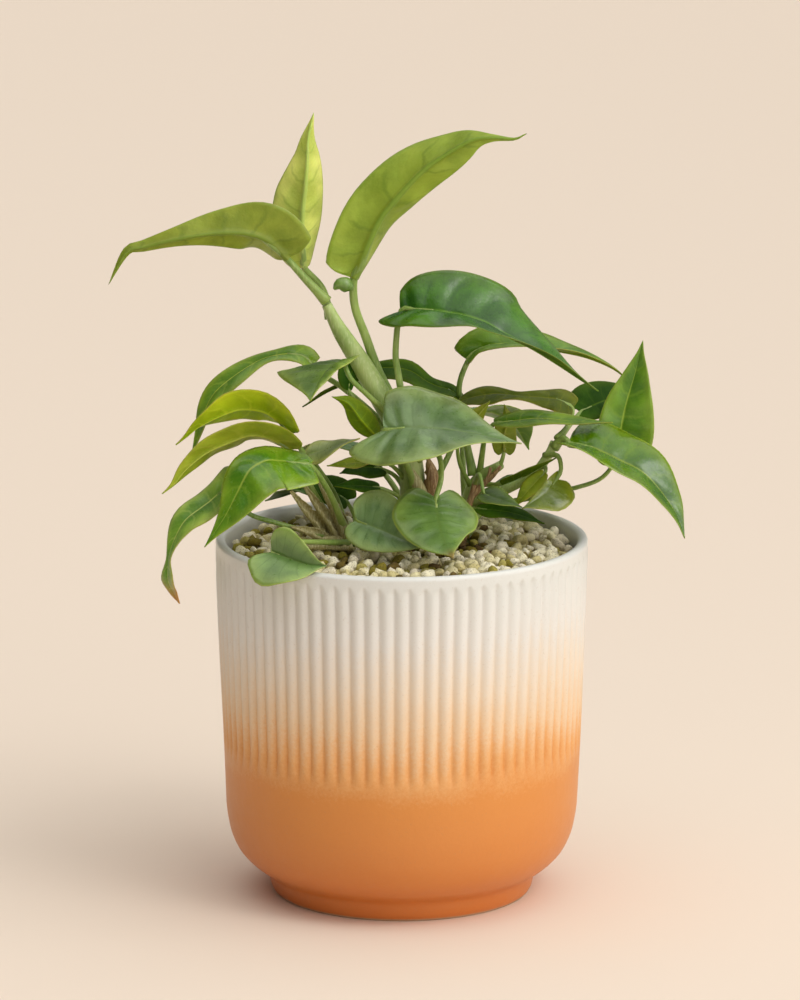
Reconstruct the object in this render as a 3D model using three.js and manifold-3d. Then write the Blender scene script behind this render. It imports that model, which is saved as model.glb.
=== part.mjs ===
// Mini monstera in a fluted two-tone ceramic pot.
// Millimetres, +Z up, the pot's axis is the Z axis, its foot stands on z = 0 and the front faces -Y.
import * as THREE from 'three';
import Module from 'manifold-3d';

const wasm = await Module();
wasm.setup();

// Pot
const potHeight = 117;
const rimRadius = 60;
const lipInnerRadius = 56.4;
const cavityRadius = 56;
const cavityFloorRadius = 46;
const cavityFloorZ = 9;
const potInside = 55.75;
const fluteCount = 78;
const fluteDepth = 0.75;
const fluteTopZ = 112.5;
const fluteBottomZ = 46;
const fluteFade = 7;
const footRadius = 41.6;

// Planting
const gap = 0.3;
const soilInset = 0.9;
const soilSides = 26;
const soilTopZ = 105;
const gravelSides = 38;
const gravelTopZ = 112;
const grainPitch = 7.4;
const grainHeight = 1.6;

// Foliage
const bladeThickness = 0.7;
const bigLeafWidth = 25;
const lobeReach = 1.25;
const edgeWaves = 1.6;
const veinSweep = 0.35;
const stalkSides = 5;
const longStalk = 28;
const stalkEase = 1.5;
const shootSides = 8;
const finish = 0.1;

const colours = {
  glaze: 0xe4d8c4,
  soil: 0x4a3526,
  pumice: 0xcfc6a4,
  shoot: 0x8fae5a,
  deepGreen: 0x2f6420,
  green: 0x4f8a24,
  brightGreen: 0x5fa32a,
  greyGreen: 0x6c8f66,
  paleGreen: 0xa9c267,
  olive: 0x97a03a,
};

// Seeded draws in 0..1, the same ones at each build.
function seeded(seed) {
  let state = seed;
  return () => {
    state = (state * 1664525 + 1013904223) % 4294967296;
    return state / 4294967296;
  };
}

const radians = (degrees) => (degrees * Math.PI) / 180;
const vec = (p) => new THREE.Vector3(p[0], p[1], p[2]);

// Smooth curve through control points, read by its share of length.
function smoothCurve(control) {
  const points = control.map(vec);
  const first = points[0].clone().multiplyScalar(2).sub(points[1]);
  const last = points.at(-1).clone().multiplyScalar(2).sub(points.at(-2));
  const guide = [first, ...points, last];
  const steps = 12;
  const samples = [points[0].clone()];
  for (let span = 1; span < guide.length - 2; span += 1) {
    for (let step = 1; step <= steps; step += 1) {
      const t = step / steps;
      const weights = [
        -0.5 * t + t * t - 0.5 * t * t * t,
        1 - 2.5 * t * t + 1.5 * t * t * t,
        0.5 * t + 2 * t * t - 1.5 * t * t * t,
        -0.5 * t * t + 0.5 * t * t * t,
      ];
      const p = new THREE.Vector3();
      weights.forEach((w, k) => p.addScaledVector(guide[span - 1 + k], w));
      samples.push(p);
    }
  }
  const lengths = [0];
  for (let i = 1; i < samples.length; i += 1) {
    lengths.push(lengths[i - 1] + samples[i].distanceTo(samples[i - 1]));
  }
  const total = lengths.at(-1);
  const at = (share) => {
    const wanted = Math.min(Math.max(share, 0), 1) * total;
    let i = 1;
    while (i < lengths.length - 1 && lengths[i] < wanted) {
      i += 1;
    }
    const t = (wanted - lengths[i - 1]) / (lengths[i] - lengths[i - 1]);
    return samples[i - 1].clone().lerp(samples[i], t);
  };
  const direction = (share) => {
    const reach = 0.02;
    return at(Math.min(share + reach, 1)).sub(at(Math.max(share - reach, 0))).normalize();
  };
  return { total, at, direction };
}

// A solid from its corner points and triangles.
function solid(points, triangles) {
  const vertProperties = new Float32Array(points.flatMap((p) => [p.x, p.y, p.z]));
  const triVerts = new Uint32Array(triangles.flat());
  return new wasm.Manifold(new wasm.Mesh({ numProp: 3, vertProperties, triVerts }));
}

// A round closed tube along a smooth curve, its radius running through the listed values.
// An ease above 1 sets its rings closer together towards the far end.
function tube({ path, radii, sides, rings, extra = 0, ease = 1 }) {
  const curve = smoothCurve(path);
  const points = [];
  const triangles = [];
  let side = new THREE.Vector3(0, 1, 0);
  for (let ring = 0; ring <= rings; ring += 1) {
    const share = 1 - (1 - ring / rings) ** ease;
    const centre = curve.at(share);
    const along = curve.direction(share);
    side = side.addScaledVector(along, -side.dot(along)).normalize();
    if (side.lengthSq() < 0.5) {
      side = new THREE.Vector3(1, 0, 0).addScaledVector(along, -along.x).normalize();
    }
    const other = along.clone().cross(side);
    const place = share * (radii.length - 1);
    const low = Math.min(Math.floor(place), radii.length - 2);
    const radius = extra + radii[low] + (radii[low + 1] - radii[low]) * (place - low);
    for (let k = 0; k < sides; k += 1) {
      const turn = (2 * Math.PI * k) / sides;
      const p = centre.clone();
      p.addScaledVector(side, radius * Math.cos(turn));
      p.addScaledVector(other, radius * Math.sin(turn));
      points.push(p);
    }
  }
  for (let ring = 0; ring < rings; ring += 1) {
    for (let k = 0; k < sides; k += 1) {
      const a = ring * sides + k;
      const b = ring * sides + ((k + 1) % sides);
      triangles.push([a, b, b + sides], [a, b + sides, a + sides]);
    }
  }
  const end = rings * sides;
  for (let k = 1; k < sides - 1; k += 1) {
    triangles.push([0, k + 1, k], [end, end + k, end + k + 1]);
  }
  return solid(points, triangles);
}

// Half outlines of a blade from its notch to its tip. Each row is the reach along the midrib and
// the half width, as shares of length and half width.
const outlines = {
  heart: [[0, 0], [-0.14, 0.42], [-0.02, 0.8], [0.22, 1], [0.48, 0.84], [0.73, 0.44], [0.89, 0.14], [1, 0]],
  tailed: [[0, 0], [-0.14, 0.46], [-0.01, 0.88], [0.16, 1], [0.36, 0.66], [0.6, 0.32], [0.82, 0.14], [1, 0]],
  lance: [[0, 0], [0, 0.4], [0.1, 0.76], [0.27, 0.97], [0.48, 0.93], [0.72, 0.55], [0.89, 0.18], [1, 0]],
  paddle: [[0, 0], [-0.1, 0.5], [0.02, 0.88], [0.2, 1], [0.47, 0.96], [0.7, 0.66], [0.84, 0.18], [1, 0]],
  waisted: [
    [0, 0], [-0.06, 0.6], [0.05, 0.95], [0.24, 0.42], [0.47, 0.72], [0.68, 0.72], [0.87, 0.3], [1, 0],
  ],
  pinched: [[0, 0], [-0.03, 0.66], [0.09, 1], [0.25, 0.68], [0.47, 0.3], [0.7, 0.66], [0.87, 0.42], [1, 0]],
  twisted: [[0, 0], [-0.12, 0.5], [0, 0.9], [0.22, 1], [0.46, 0.75], [0.68, 0.2], [0.84, 0.45], [1, 0]],
};
// Where the vein of each row leaves the midrib, as a share of length.
const veinFeet = [0, 0.06, 0.15, 0.28, 0.47, 0.7, 0.88, 1];

// Point of a leaf's middle surface: x along the midrib and y across it, as shares,
// side is 1 for the half on the right of the midrib and -1 for the left half.
function bladePoint(leaf, curve, x, y, side) {
  const share = Math.max(x, 0);
  const along = curve.direction(share);
  const up = vec(leaf.up[0]).lerp(vec(leaf.up[1]), share);
  up.addScaledVector(along, -up.dot(along)).normalize();
  const across = along.clone().cross(up);
  const half = side > 0 ? 1 : 0;
  const fold = radians(leaf.fold[half]);
  const curl = radians(leaf.curl[half] || 0.5);
  const width = y * leaf.wide[half];
  const turn = fold + curl * y;
  const bend = curl / leaf.wide[half];
  const outward = y > 0 ? (Math.sin(turn) - Math.sin(fold)) / bend : 0;
  const raised = y > 0 ? (Math.cos(fold) - Math.cos(turn)) / bend : 0;
  const wave = leaf.wave * Math.sin(2 * Math.PI * edgeWaves * x + side + leaf.wave * 5) * y * y;
  const point = curve.at(share);
  const back = Math.min(x, 0) * lobeReach * (leaf.wide[0] + leaf.wide[1]) * leaf.lobes[half];
  point.addScaledVector(along, back);
  point.addScaledVector(up, raised + wave - (leaf.lobeDrop * Math.max(-x, 0) * width) / 3);
  return point.addScaledVector(across, side * outward);
}

// The blade as one thin closed solid, split into the same triangles on both faces.
function blade(leaf) {
  const curve = smoothCurve(leaf.rib);
  const columns = leaf.wide[0] + leaf.wide[1] > bigLeafWidth ? 3 : 2;
  const last = veinFeet.length - 1;
  const middle = [];
  const halves = { 1: [], '-1': [] };
  const ribIndex = veinFeet.map((foot) => {
    middle.push(bladePoint(leaf, curve, foot, 0, 1));
    return middle.length - 1;
  });
  for (const side of [1, -1]) {
    const rows = outlines[leaf.shapes[side > 0 ? 1 : 0]];
    for (let i = 0; i <= last; i += 1) {
      const [reach, half] = rows[i];
      const foot = veinFeet[i];
      halves[side][i] = [ribIndex[i]];
      for (let j = 1; j <= columns; j += 1) {
        if (i === 0 || i === last) {
          halves[side][i].push(ribIndex[i]);
          continue;
        }
        const t = j / columns;
        const x = foot + (reach - foot) * t * (1 - veinSweep + veinSweep * t);
        middle.push(bladePoint(leaf, curve, x, half * t, side));
        halves[side][i].push(middle.length - 1);
      }
    }
  }
  const face = [];
  const add = (a, b, c) => {
    if (a !== b && b !== c && a !== c) {
      face.push([a, b, c]);
    }
  };
  for (let i = 0; i < last; i += 1) {
    for (let j = 0; j < columns; j += 1) {
      const right = halves[1];
      add(right[i][j], right[i][j + 1], right[i + 1][j + 1]);
      add(right[i][j], right[i + 1][j + 1], right[i + 1][j]);
      const left = halves[-1];
      add(left[i][j], left[i + 1][j + 1], left[i][j + 1]);
      add(left[i][j], left[i + 1][j], left[i + 1][j + 1]);
    }
  }
  const normals = middle.map(() => new THREE.Vector3());
  for (const [a, b, c] of face) {
    const ab = middle[b].clone().sub(middle[a]);
    const normal = ab.cross(middle[c].clone().sub(middle[a]));
    normals[a].add(normal);
    normals[b].add(normal);
    normals[c].add(normal);
  }
  const count = middle.length;
  const lift = (sign) => middle.map((p, k) => {
    const offset = normals[k].clone().normalize().multiplyScalar((sign * bladeThickness) / 2);
    return p.clone().add(offset);
  });
  const triangles = [...face, ...face.map(([a, b, c]) => [a + count, c + count, b + count])];
  const edge = [ribIndex[0]];
  for (let i = 1; i < last; i += 1) {
    edge.push(halves[1][i][columns]);
  }
  edge.push(ribIndex[last]);
  for (let i = last - 1; i > 0; i -= 1) {
    edge.push(halves[-1][i][columns]);
  }
  edge.forEach((a, k) => {
    const b = edge[(k + 1) % edge.length];
    triangles.push([a, a + count, b + count], [a, b + count, b]);
  });
  return solid([...lift(1), ...lift(-1)], triangles);
}

// The stalk runs from the shoot to the notch of the blade and ends inside the blade.
function stalkPath(leaf) {
  const curve = smoothCurve(leaf.rib);
  const notch = curve.at(0);
  const inside = curve.at(0.1);
  return [...leaf.stalk, notch.toArray(), inside.toArray()];
}

function stalk(leaf, extra = 0) {
  const path = stalkPath(leaf);
  const radii = [1.25, 1, 0.85, 0.8].map((share) => share * leaf.thick);
  const rings = smoothCurve(path).total > longStalk ? 5 : 4;
  return tube({ path, radii, sides: stalkSides, rings, extra, ease: stalkEase });
}

// Values of a leaf that names no others.
const plainLeaf = {
  shapes: ['heart', 'heart'],
  curl: [-8, -8],
  wave: 0.3,
  lobeDrop: 1,
  lobes: [1, 1],
};

// Leaves. rib runs from notch to tip, up is the way the upper face looks at notch and at tip,
// wide, fold and curl are for the left and the right half, and stalk runs from shoot to notch.
const leaves = [
  {
    name: 'leaf_tall_left',
    colour: 'paleGreen',
    rib: [
      [-36.4, 4, 207.2], [-42.7, 2, 213.3], [-49.7, 0, 215.9], [-59.9, -2, 216.3], [-71.7, -4, 214.7],
      [-82.1, -4, 212.1], [-87.5, -5, 210.6], [-93.4, -5, 200.2],
    ],
    up: [[0.64, 0.7, 0.32], [-0.27, 0.93, 0.26]],
    wide: [11.5, 9.9],
    fold: [35, 22],
    curl: [-4, -18],
    stalk: [[-24, 4, 193], [-31, 4, 200.5]],
    thick: 1.3,
    shapes: ['tailed', 'tailed'],
    lobeDrop: 1.2,
    lobes: [0.3, 0.2],
  },
  {
    name: 'leaf_tall_upright',
    colour: 'paleGreen',
    rib: [
      [-31.4, 10, 202.9], [-31.8, 9.5, 210.4], [-31.8, 9, 220.2], [-30.7, 9, 229.9], [-30.1, 10, 238.5],
      [-29.8, 12, 244.7], [-28.1, 14, 252.5],
    ],
    up: [[-0.36, 0.93, 0.07], [0.14, 0.99, 0.02]],
    wide: [8.8, 11.3],
    fold: [39, 42],
    curl: [-6, -7],
    stalk: [[-23, 7, 187], [-25.5, 10.5, 196]],
    thick: 1.2,
    shapes: ['lance', 'lance'],
    lobeDrop: 0.5,
    lobes: [0.9, 0.9],
  },
  {
    name: 'leaf_tall_right',
    colour: 'paleGreen',
    rib: [
      [-15.6, 6, 200.3], [-13.9, 6, 203.6], [-7.8, 5, 218], [-0.9, 4, 227.2], [7, 3, 235.6],
      [14.4, 2, 241], [22.2, 1, 245.5], [28.7, 0, 246.6], [35.8, -1, 246.4], [39.6, -2, 248.3],
    ],
    up: [[-0.6, 0.76, 0.25], [0.5, 0.74, -0.44]],
    wide: [8.8, 12],
    fold: [37, 38],
    curl: [-7, -8],
    stalk: [[-4, 2, 162], [-8, 5, 171], [-11.5, 6, 181], [-15, 6, 191]],
    thick: 1.5,
    shapes: ['paddle', 'paddle'],
    lobeDrop: 0.7,
    lobes: [0.6, 0.4],
  },
  {
    name: 'leaf_glossy_high',
    colour: 'deepGreen',
    rib: [
      [-0.5, -2, 191], [7.5, -5, 192.2], [23.5, -9, 189.9], [32.3, -11, 185.6], [44.2, -13, 179.7],
      [62.6, -14, 167.4],
    ],
    up: [[-0.54, -0.63, 0.56], [0.47, 0.19, 0.86]],
    wide: [16.5, 9.8],
    fold: [15, 31],
    curl: [-12, -14],
    stalk: [[1, -1, 150], [0.5, -4, 160], [-1, -4, 170], [-2, -3, 178]],
    thick: 1.1,
    shapes: ['lance', 'heart'],
    lobeDrop: 2.9,
    lobes: [0.5, 1.4],
  },
  {
    name: 'leaf_behind_high',
    colour: 'green',
    rib: [
      [21.2, 14, 171.9], [24.5, 14.4, 175.3], [30.6, 13.7, 177.2], [39.7, 14.1, 177.2],
      [49.5, 13.4, 175.5], [59.4, 13.8, 173.2], [67.9, 13.1, 169.6], [73.1, 12.5, 165.6],
    ],
    up: [[-0.43, -0.49, 0.76], [0.22, 0.25, 0.94]],
    wide: [8.1, 4.6],
    fold: [20, 26],
    curl: [-6, -17],
    stalk: [[23, 14, 134], [20, 15, 150], [18.5, 13, 163]],
    thick: 1.1,
    lobeDrop: 1.4,
    lobes: [0.1, 0.6],
  },
  {
    name: 'leaf_dark_arch',
    colour: 'deepGreen',
    rib: [
      [20.1, 17.5, 157.4], [16.4, 17.2, 161.1], [9.5, 17, 163.5], [2.2, 16.8, 168], [-5.7, 15.5, 169.1],
      [-12, 14.2, 167.6], [-16.9, 13, 164.2],
    ],
    up: [[0.55, -0.27, 0.79], [0.6, -0.54, 0.59]],
    wide: [10.2, 5.1],
    fold: [13, 5],
    curl: [4, -14],
    stalk: [[5, 6, 124], [14, 14, 138], [19, 17, 150]],
    thick: 1,
    shapes: ['lance', 'lance'],
    lobes: [0.9, 0.9],
  },
  {
    name: 'leaf_right_olive',
    colour: 'olive',
    rib: [
      [55.3, 12, 156.5], [50.9, 12, 159.3], [44.3, 12, 160.1], [37.7, 11, 160.8], [29.5, 11, 161.4],
      [22.1, 10, 160.3], [16.9, 9, 158.4],
    ],
    up: [[0.27, -0.44, 0.86], [0.43, -0.37, 0.82]],
    wide: [8.3, 6],
    fold: [4, 7],
    curl: [-5, -8],
    stalk: [[50, 0, 149], [53.5, 6, 152]],
    thick: 0.9,
    shapes: ['pinched', 'pinched'],
    lobeDrop: 1.3,
    lobes: [0.9, 0.5],
  },
  {
    name: 'leaf_right_upright',
    colour: 'green',
    rib: [[68.8, 8, 139.7], [70.1, 9, 147.6], [72.1, 10, 157.8], [75.3, 11, 168.9], [77.6, 11, 179.1]],
    up: [[-0.01, -1, 0.04], [-0.25, -0.9, 0.36]],
    wide: [8.2, 11],
    fold: [29, 10],
    curl: [-8, -10],
    stalk: [[21, 16, 122], [40, 10, 127], [55, 5, 131.5], [64, 6, 134.5]],
    thick: 0.9,
    lobeDrop: 0.9,
    lobes: [0.5, 1],
  },
  {
    name: 'leaf_glossy_right',
    colour: 'brightGreen',
    rib: [
      [53.6, -3, 148.2], [60.4, -6, 147.6], [68.5, -8, 144.2], [77.6, -10, 139.6], [84.9, -12, 131.4],
      [88.3, -14, 125.5], [90.4, -16, 119.8],
    ],
    up: [[0.21, -0.34, 0.92], [0.66, -0.72, 0.22]],
    wide: [12.8, 12.4],
    fold: [19, 21],
    curl: [-20, 6],
    stalk: [[49, 1, 146], [52, -1, 149.5]],
    thick: 1.2,
    lobeDrop: 0.8,
    lobes: [0.2, 0.4],
  },
  {
    name: 'leaf_narrow_right',
    colour: 'green',
    rib: [[29.6, 4, 153.2], [35.7, 3, 154.2], [44.4, 2, 155.2], [55.4, 0, 154.6], [67.6, -3, 154.9]],
    up: [[0.09, -0.51, 0.85], [0.07, -0.24, 0.97]],
    wide: [4.3, 4.4],
    fold: [10, 13],
    curl: [-3, -15],
    stalk: [[25, 14, 133], [26, 10, 142], [27, 6, 149]],
    thick: 0.9,
    shapes: ['lance', 'lance'],
    lobeDrop: 1.1,
    lobes: [1, 1.5],
  },
  {
    name: 'leaf_centre_heart',
    colour: 'greyGreen',
    rib: [
      [-5.8, -16, 155.2], [3.5, -19, 156.7], [14, -20, 156.2], [23.4, -21, 155], [31.2, -21, 153.1],
      [38.1, -20, 151.6],
    ],
    up: [[-0.14, -0.7, 0.7], [0.02, -0.15, 0.99]],
    wide: [16.3, 18.6],
    fold: [10, 16],
    curl: [-10, -11],
    stalk: [[4, 0, 128], [3, -4, 137], [0, -10, 146], [-5, -13, 153]],
    thick: 1.2,
    lobeDrop: 1.3,
    lobes: [0.1, 1.7],
  },
  {
    name: 'leaf_small_back_right',
    colour: 'olive',
    rib: [[33, 9, 143], [33, 9, 148], [34, 10, 153], [33, 12, 158]],
    up: [[0, 0.95, 0.2], [0, 0.95, 0.2]],
    wide: [4.2, 4],
    fold: [10, 10],
    stalk: [[31.5, 9.5, 137.5], [32.5, 9, 140.5]],
    thick: 0.7,
  },
  {
    name: 'leaf_left_upright_dark',
    colour: 'deepGreen',
    rib: [[-16.9, 0, 164.8], [-16.6, 1, 167.8], [-15.3, 3, 172.2], [-12.9, 6, 176.5]],
    up: [[0.51, -0.73, 0.46], [0.16, -0.98, 0.08]],
    wide: [4.8, 1.9],
    fold: [10, 5],
    curl: [-12, -12],
    stalk: [[0, -1, 147], [-6, -3, 152], [-13, -2.5, 158.5]],
    thick: 1,
    shapes: ['lance', 'lance'],
    lobeDrop: 0.3,
    lobes: [0.9, 0.8],
  },
  {
    name: 'leaf_left_grey_tip',
    colour: 'greyGreen',
    rib: [[-18, -7, 176], [-22, -13, 175.5], [-26, -20, 172], [-29, -26, 166.5]],
    up: [[-0.35, -0.1, 0.9], [-0.3, -0.3, 0.8]],
    wide: [5, 22],
    fold: [10, 5],
    curl: [-25, -10],
    stalk: [[-5, -2, 158], [-11, -8, 165], [-16, -11, 170.5], [-18, -9.5, 174.5]],
    thick: 0.9,
  },
  {
    name: 'leaf_left_thin_dark',
    colour: 'deepGreen',
    rib: [[-15, 15, 165.5], [-24, 13, 162], [-32, 9, 157.5]],
    up: [[0.2, 0.4, 0.85], [0, 0.4, 0.85]],
    wide: [2.4, 2.4],
    fold: [15, 15],
    stalk: [[3, 6, 141], [-4, 12, 152], [-11, 15, 161]],
    thick: 0.7,
    shapes: ['lance', 'lance'],
  },
  {
    name: 'leaf_young_yellow',
    colour: 'olive',
    rib: [[-8.2, -5, 151.2], [-12.7, -6, 156.3], [-17, -7, 162.1], [-22.4, -8, 164.4]],
    up: [[0.12, 0.97, 0.2], [0.42, 0.87, 0.27]],
    wide: [4.3, 4.4],
    fold: [29, 9],
    curl: [-8, -8],
    stalk: [[1, -1, 143], [-3, -4, 147]],
    thick: 0.9,
    shapes: ['lance', 'lance'],
    lobeDrop: 0.9,
    lobes: [0.9, 1.2],
  },
  {
    name: 'leaf_arching_left',
    colour: 'green',
    rib: [
      [-28.6, 10.5, 170.8], [-31.9, 10.5, 174], [-37.7, 10.5, 174.6], [-45, 10.5, 172.9],
      [-52.6, 9.5, 168.5], [-59.6, 8.5, 162.9], [-63.2, 7.5, 156.9], [-65.3, 7.5, 149.4],
      [-67.8, 6.5, 141.6],
    ],
    up: [[0.41, -0.53, 0.74], [-0.73, -0.67, 0.12]],
    wide: [6.9, 4.8],
    fold: [22, 11],
    curl: [-2, -10],
    stalk: [[1, 1, 145], [-8, 5, 155], [-19, 8, 164], [-26, 8, 168.5]],
    thick: 1,
    shapes: ['waisted', 'waisted'],
    lobeDrop: 1.1,
    lobes: [0.3, 0.1],
  },
  {
    name: 'leaf_olive_left',
    colour: 'olive',
    rib: [
      [-35.6, -4, 151.5], [-39.2, -4, 156], [-44.5, -4, 159.1], [-52.1, -4, 159.6], [-59.4, -4, 156.9],
      [-65, -4, 154], [-68.7, -4, 150.9], [-72.4, -4, 147.8],
    ],
    up: [[0.78, 0.62, 0.1], [-0.61, 0.71, 0.35]],
    wide: [9.7, 8.7],
    fold: [-10, 41],
    curl: [-15, -15],
    stalk: [[-18.5, 1, 118], [-24, 1, 131], [-31, -2, 144]],
    thick: 1,
    lobeDrop: 1.1,
    lobes: [0, 0.5],
  },
  {
    name: 'leaf_yellow_left',
    colour: 'olive',
    rib: [
      [-35.7, -6, 146.8], [-41.4, -8, 151], [-48.3, -10, 152.6], [-55.8, -12, 150.3],
      [-62.5, -14, 147.5], [-68.6, -16, 142.8], [-72.9, -17, 137.7], [-76.4, -18, 134.8],
    ],
    up: [[0.3, 0.52, 0.8], [-0.28, 0.81, 0.52]],
    wide: [8.1, 10.3],
    fold: [12, 18],
    curl: [-10, -4],
    stalk: [[-19, -1, 117], [-27, -3, 130], [-33, -5, 142]],
    thick: 1,
    lobeDrop: 1.3,
    lobes: [0.4, 0.9],
  },
  {
    name: 'leaf_glossy_left',
    colour: 'brightGreen',
    rib: [
      [-29.2, -18, 144.4], [-35.8, -20, 145.7], [-42.3, -22, 146.6], [-47.3, -25, 145],
      [-50.5, -27, 140.7], [-53.5, -29, 134.7], [-57.3, -31, 128.1], [-62.5, -33, 120.8],
    ],
    up: [[0.31, -0.24, 0.92], [-0.73, -0.67, 0.13]],
    wide: [15.8, 9.6],
    fold: [7, -2],
    curl: [-13, -11],
    stalk: [[-18, -3, 119], [-22, -10, 131], [-26, -15, 139.5]],
    thick: 1.1,
    lobeDrop: 1.1,
    lobes: [0, 0.5],
  },
  {
    name: 'leaf_twisted_left',
    colour: 'green',
    rib: [
      [-53.4, -12, 138.9], [-57.2, -13, 134.9], [-62.8, -14, 130.2], [-68.4, -15, 126.2],
      [-71.6, -16, 121.6], [-73.8, -17, 116.3], [-74.6, -17, 111.5], [-74.6, -18, 106.6],
      [-72.8, -18, 102.5], [-71, -19, 99.1],
    ],
    up: [[-0.29, -0.21, 0.93], [-0.93, -0.33, 0.18]],
    wide: [9.3, 7.4],
    fold: [2, 20],
    curl: [-13, -11],
    stalk: [[-19, -2, 115], [-26, -6, 118.5], [-40, -10, 123.5], [-50, -12, 128]],
    thick: 0.9,
    shapes: ['twisted', 'twisted'],
    lobeDrop: 0.4,
    lobes: [1.5, 0.8],
  },
  {
    name: 'leaf_grey_left',
    colour: 'greyGreen',
    rib: [[-30.8, -3, 144.3], [-24.9, -5, 146.4], [-19, -7, 148.9], [-13.3, -9, 151]],
    up: [[-0.42, -0.62, 0.66], [-0.16, 0.25, 0.95]],
    wide: [4.8, 5.3],
    fold: [11, -4],
    curl: [-15, -8],
    stalk: [[-17.5, 1.5, 118], [-21.5, 3, 130], [-28, 0, 141]],
    thick: 0.8,
    shapes: ['lance', 'lance'],
    lobeDrop: 0.5,
    lobes: [1.1, 1.1],
  },
  {
    name: 'leaf_tip_inner_left',
    colour: 'olive',
    rib: [[-10, -6, 143], [-17, -8, 142.5], [-24, -9, 142]],
    up: [[0, -0.5, 0.85], [0, -0.5, 0.85]],
    wide: [2.6, 2.6],
    fold: [8, 8],
    stalk: [[1, 0, 136], [-4, -4, 141.5]],
    thick: 0.7,
    shapes: ['lance', 'lance'],
  },
  {
    name: 'leaf_inner_dark',
    colour: 'deepGreen',
    rib: [[-7, 2, 139], [-13, 0, 139.5], [-20, -2, 138]],
    up: [[0, -0.6, 0.8], [0, -0.6, 0.8]],
    wide: [5.2, 5],
    fold: [8, 8],
    stalk: [[2, 2, 130], [-2, 3, 136]],
    thick: 0.8,
  },
  {
    name: 'leaf_inner_low',
    colour: 'deepGreen',
    rib: [[-7, -9, 135], [-15, -11, 136], [-22, -12, 136]],
    up: [[0, -0.4, 0.9], [0, -0.4, 0.9]],
    wide: [3.6, 3.6],
    fold: [8, 8],
    stalk: [[3, 0, 124], [-1, -5, 131]],
    thick: 0.8,
    shapes: ['lance', 'lance'],
  },
  {
    name: 'leaf_inner_back_left',
    colour: 'deepGreen',
    rib: [[-18, 9, 127], [-25, 12, 131], [-31, 15, 132]],
    up: [[0.2, -0.7, 0.6], [0.2, -0.7, 0.6]],
    wide: [6, 6],
    fold: [8, 8],
    stalk: [[-17, 1, 115], [-15, 6, 121]],
    thick: 0.8,
  },
  {
    name: 'leaf_over_rim',
    colour: 'greyGreen',
    rib: [[-40.9, -44, 121.9], [-36.3, -47, 120.8], [-30, -50, 119.3], [-23.5, -52, 119.1]],
    up: [[-0.22, -0.4, 0.89], [-0.18, -0.5, 0.85]],
    wide: [9.3, 13.9],
    fold: [62, 8],
    curl: [-2, -20],
    stalk: [[-16, -3, 115.5], [-21, -13, 117.8], [-31, -26, 121], [-39, -33, 123]],
    thick: 0.9,
    lobeDrop: 1.3,
    lobes: [0.3, 1.1],
  },
  {
    name: 'leaf_front_heart_left',
    colour: 'greyGreen',
    rib: [[-14.6, -16.5, 125.8], [-7.7, -21.5, 124.3], [0.6, -27.5, 122], [8.4, -31.5, 120.3]],
    up: [[-0.2, -0.78, 0.59], [0.01, -0.94, 0.34]],
    wide: [12, 8.1],
    fold: [20, -1],
    curl: [-10, -13],
    stalk: [[2, -1, 120], [-5, -8, 127], [-12, -14, 128.5]],
    thick: 1,
    lobeDrop: 0.9,
    lobes: [0.9, 0.6],
  },
  {
    name: 'leaf_front_heart_right',
    colour: 'greyGreen',
    rib: [[10.8, -22, 134.4], [11.4, -29, 130.1], [12.9, -37, 124.9], [16.2, -46, 120.3]],
    up: [[0.19, -0.6, 0.78], [-0.13, -0.76, 0.63]],
    wide: [13.7, 14.3],
    fold: [-5, -5],
    curl: [-13, -10],
    stalk: [[5, 0, 142], [9, -7, 147.5], [12, -14, 146], [12.5, -19, 140]],
    thick: 1,
    lobeDrop: 0.4,
    lobes: [1.1, 1],
  },
  {
    name: 'leaf_small_grey_right',
    colour: 'greyGreen',
    rib: [[26.3, -7, 132.5], [30.9, -11, 131.6], [38.4, -15, 129.8]],
    up: [[-0.05, -0.52, 0.85], [-0.02, -0.24, 0.97]],
    wide: [4.5, 4.1],
    fold: [10, 1],
    curl: [-6, 6],
    stalk: [[23, 13, 129], [24, 5, 134.5], [25, -2, 137.5]],
    thick: 0.8,
    lobeDrop: 1.7,
    lobes: [0.8, 0.5],
  },
  {
    name: 'leaf_low_dark_right',
    colour: 'deepGreen',
    rib: [[24, 7, 124.5], [35, 3, 124], [46, 0, 121]],
    up: [[0, -0.3, 0.95], [0, -0.3, 0.95]],
    wide: [4.6, 5],
    fold: [6, 6],
    stalk: [[20.5, 15, 117], [21, 11, 121.5]],
    thick: 0.8,
    shapes: ['lance', 'lance'],
  },
  {
    name: 'leaf_folded_right',
    colour: 'greyGreen',
    rib: [[49.6, -7, 137.2], [46.1, -11, 133.6], [38.3, -16, 129.5]],
    up: [[0.16, -0.91, 0.39], [-0.34, -0.68, 0.65]],
    wide: [8.4, 2.5],
    fold: [2, 6],
    curl: [-8, -5],
    stalk: [[46, 2, 143], [50, -3, 144], [51, -6, 140]],
    thick: 0.8,
    lobeDrop: 0.8,
    lobes: [1, 1.6],
  },
  {
    name: 'leaf_shaded_right',
    colour: 'deepGreen',
    rib: [[58, 17, 154.5], [65, 20, 157], [73, 24, 158.5], [80, 28, 158]],
    up: [[-0.2, -0.7, 0.6], [0, -0.5, 0.8]],
    wide: [9, 6],
    fold: [8, 8],
    stalk: [[50.5, 1.5, 148], [54, 10, 151]],
    thick: 0.8,
  },
  {
    name: 'leaf_blade_edge_right',
    colour: 'deepGreen',
    rib: [[32, 1, 134.4], [40, -1.5, 138], [49.5, -4, 143.6]],
    up: [[-0.3, 0.5, 0.8], [-0.3, 0.5, 0.8]],
    wide: [2.8, 2.8],
    fold: [12, 12],
    stalk: [[26.5, 10, 132], [29.5, 5.5, 132.7]],
    thick: 0.8,
    shapes: ['lance', 'lance'],
  },
  {
    name: 'leaf_olive_low_right',
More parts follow.
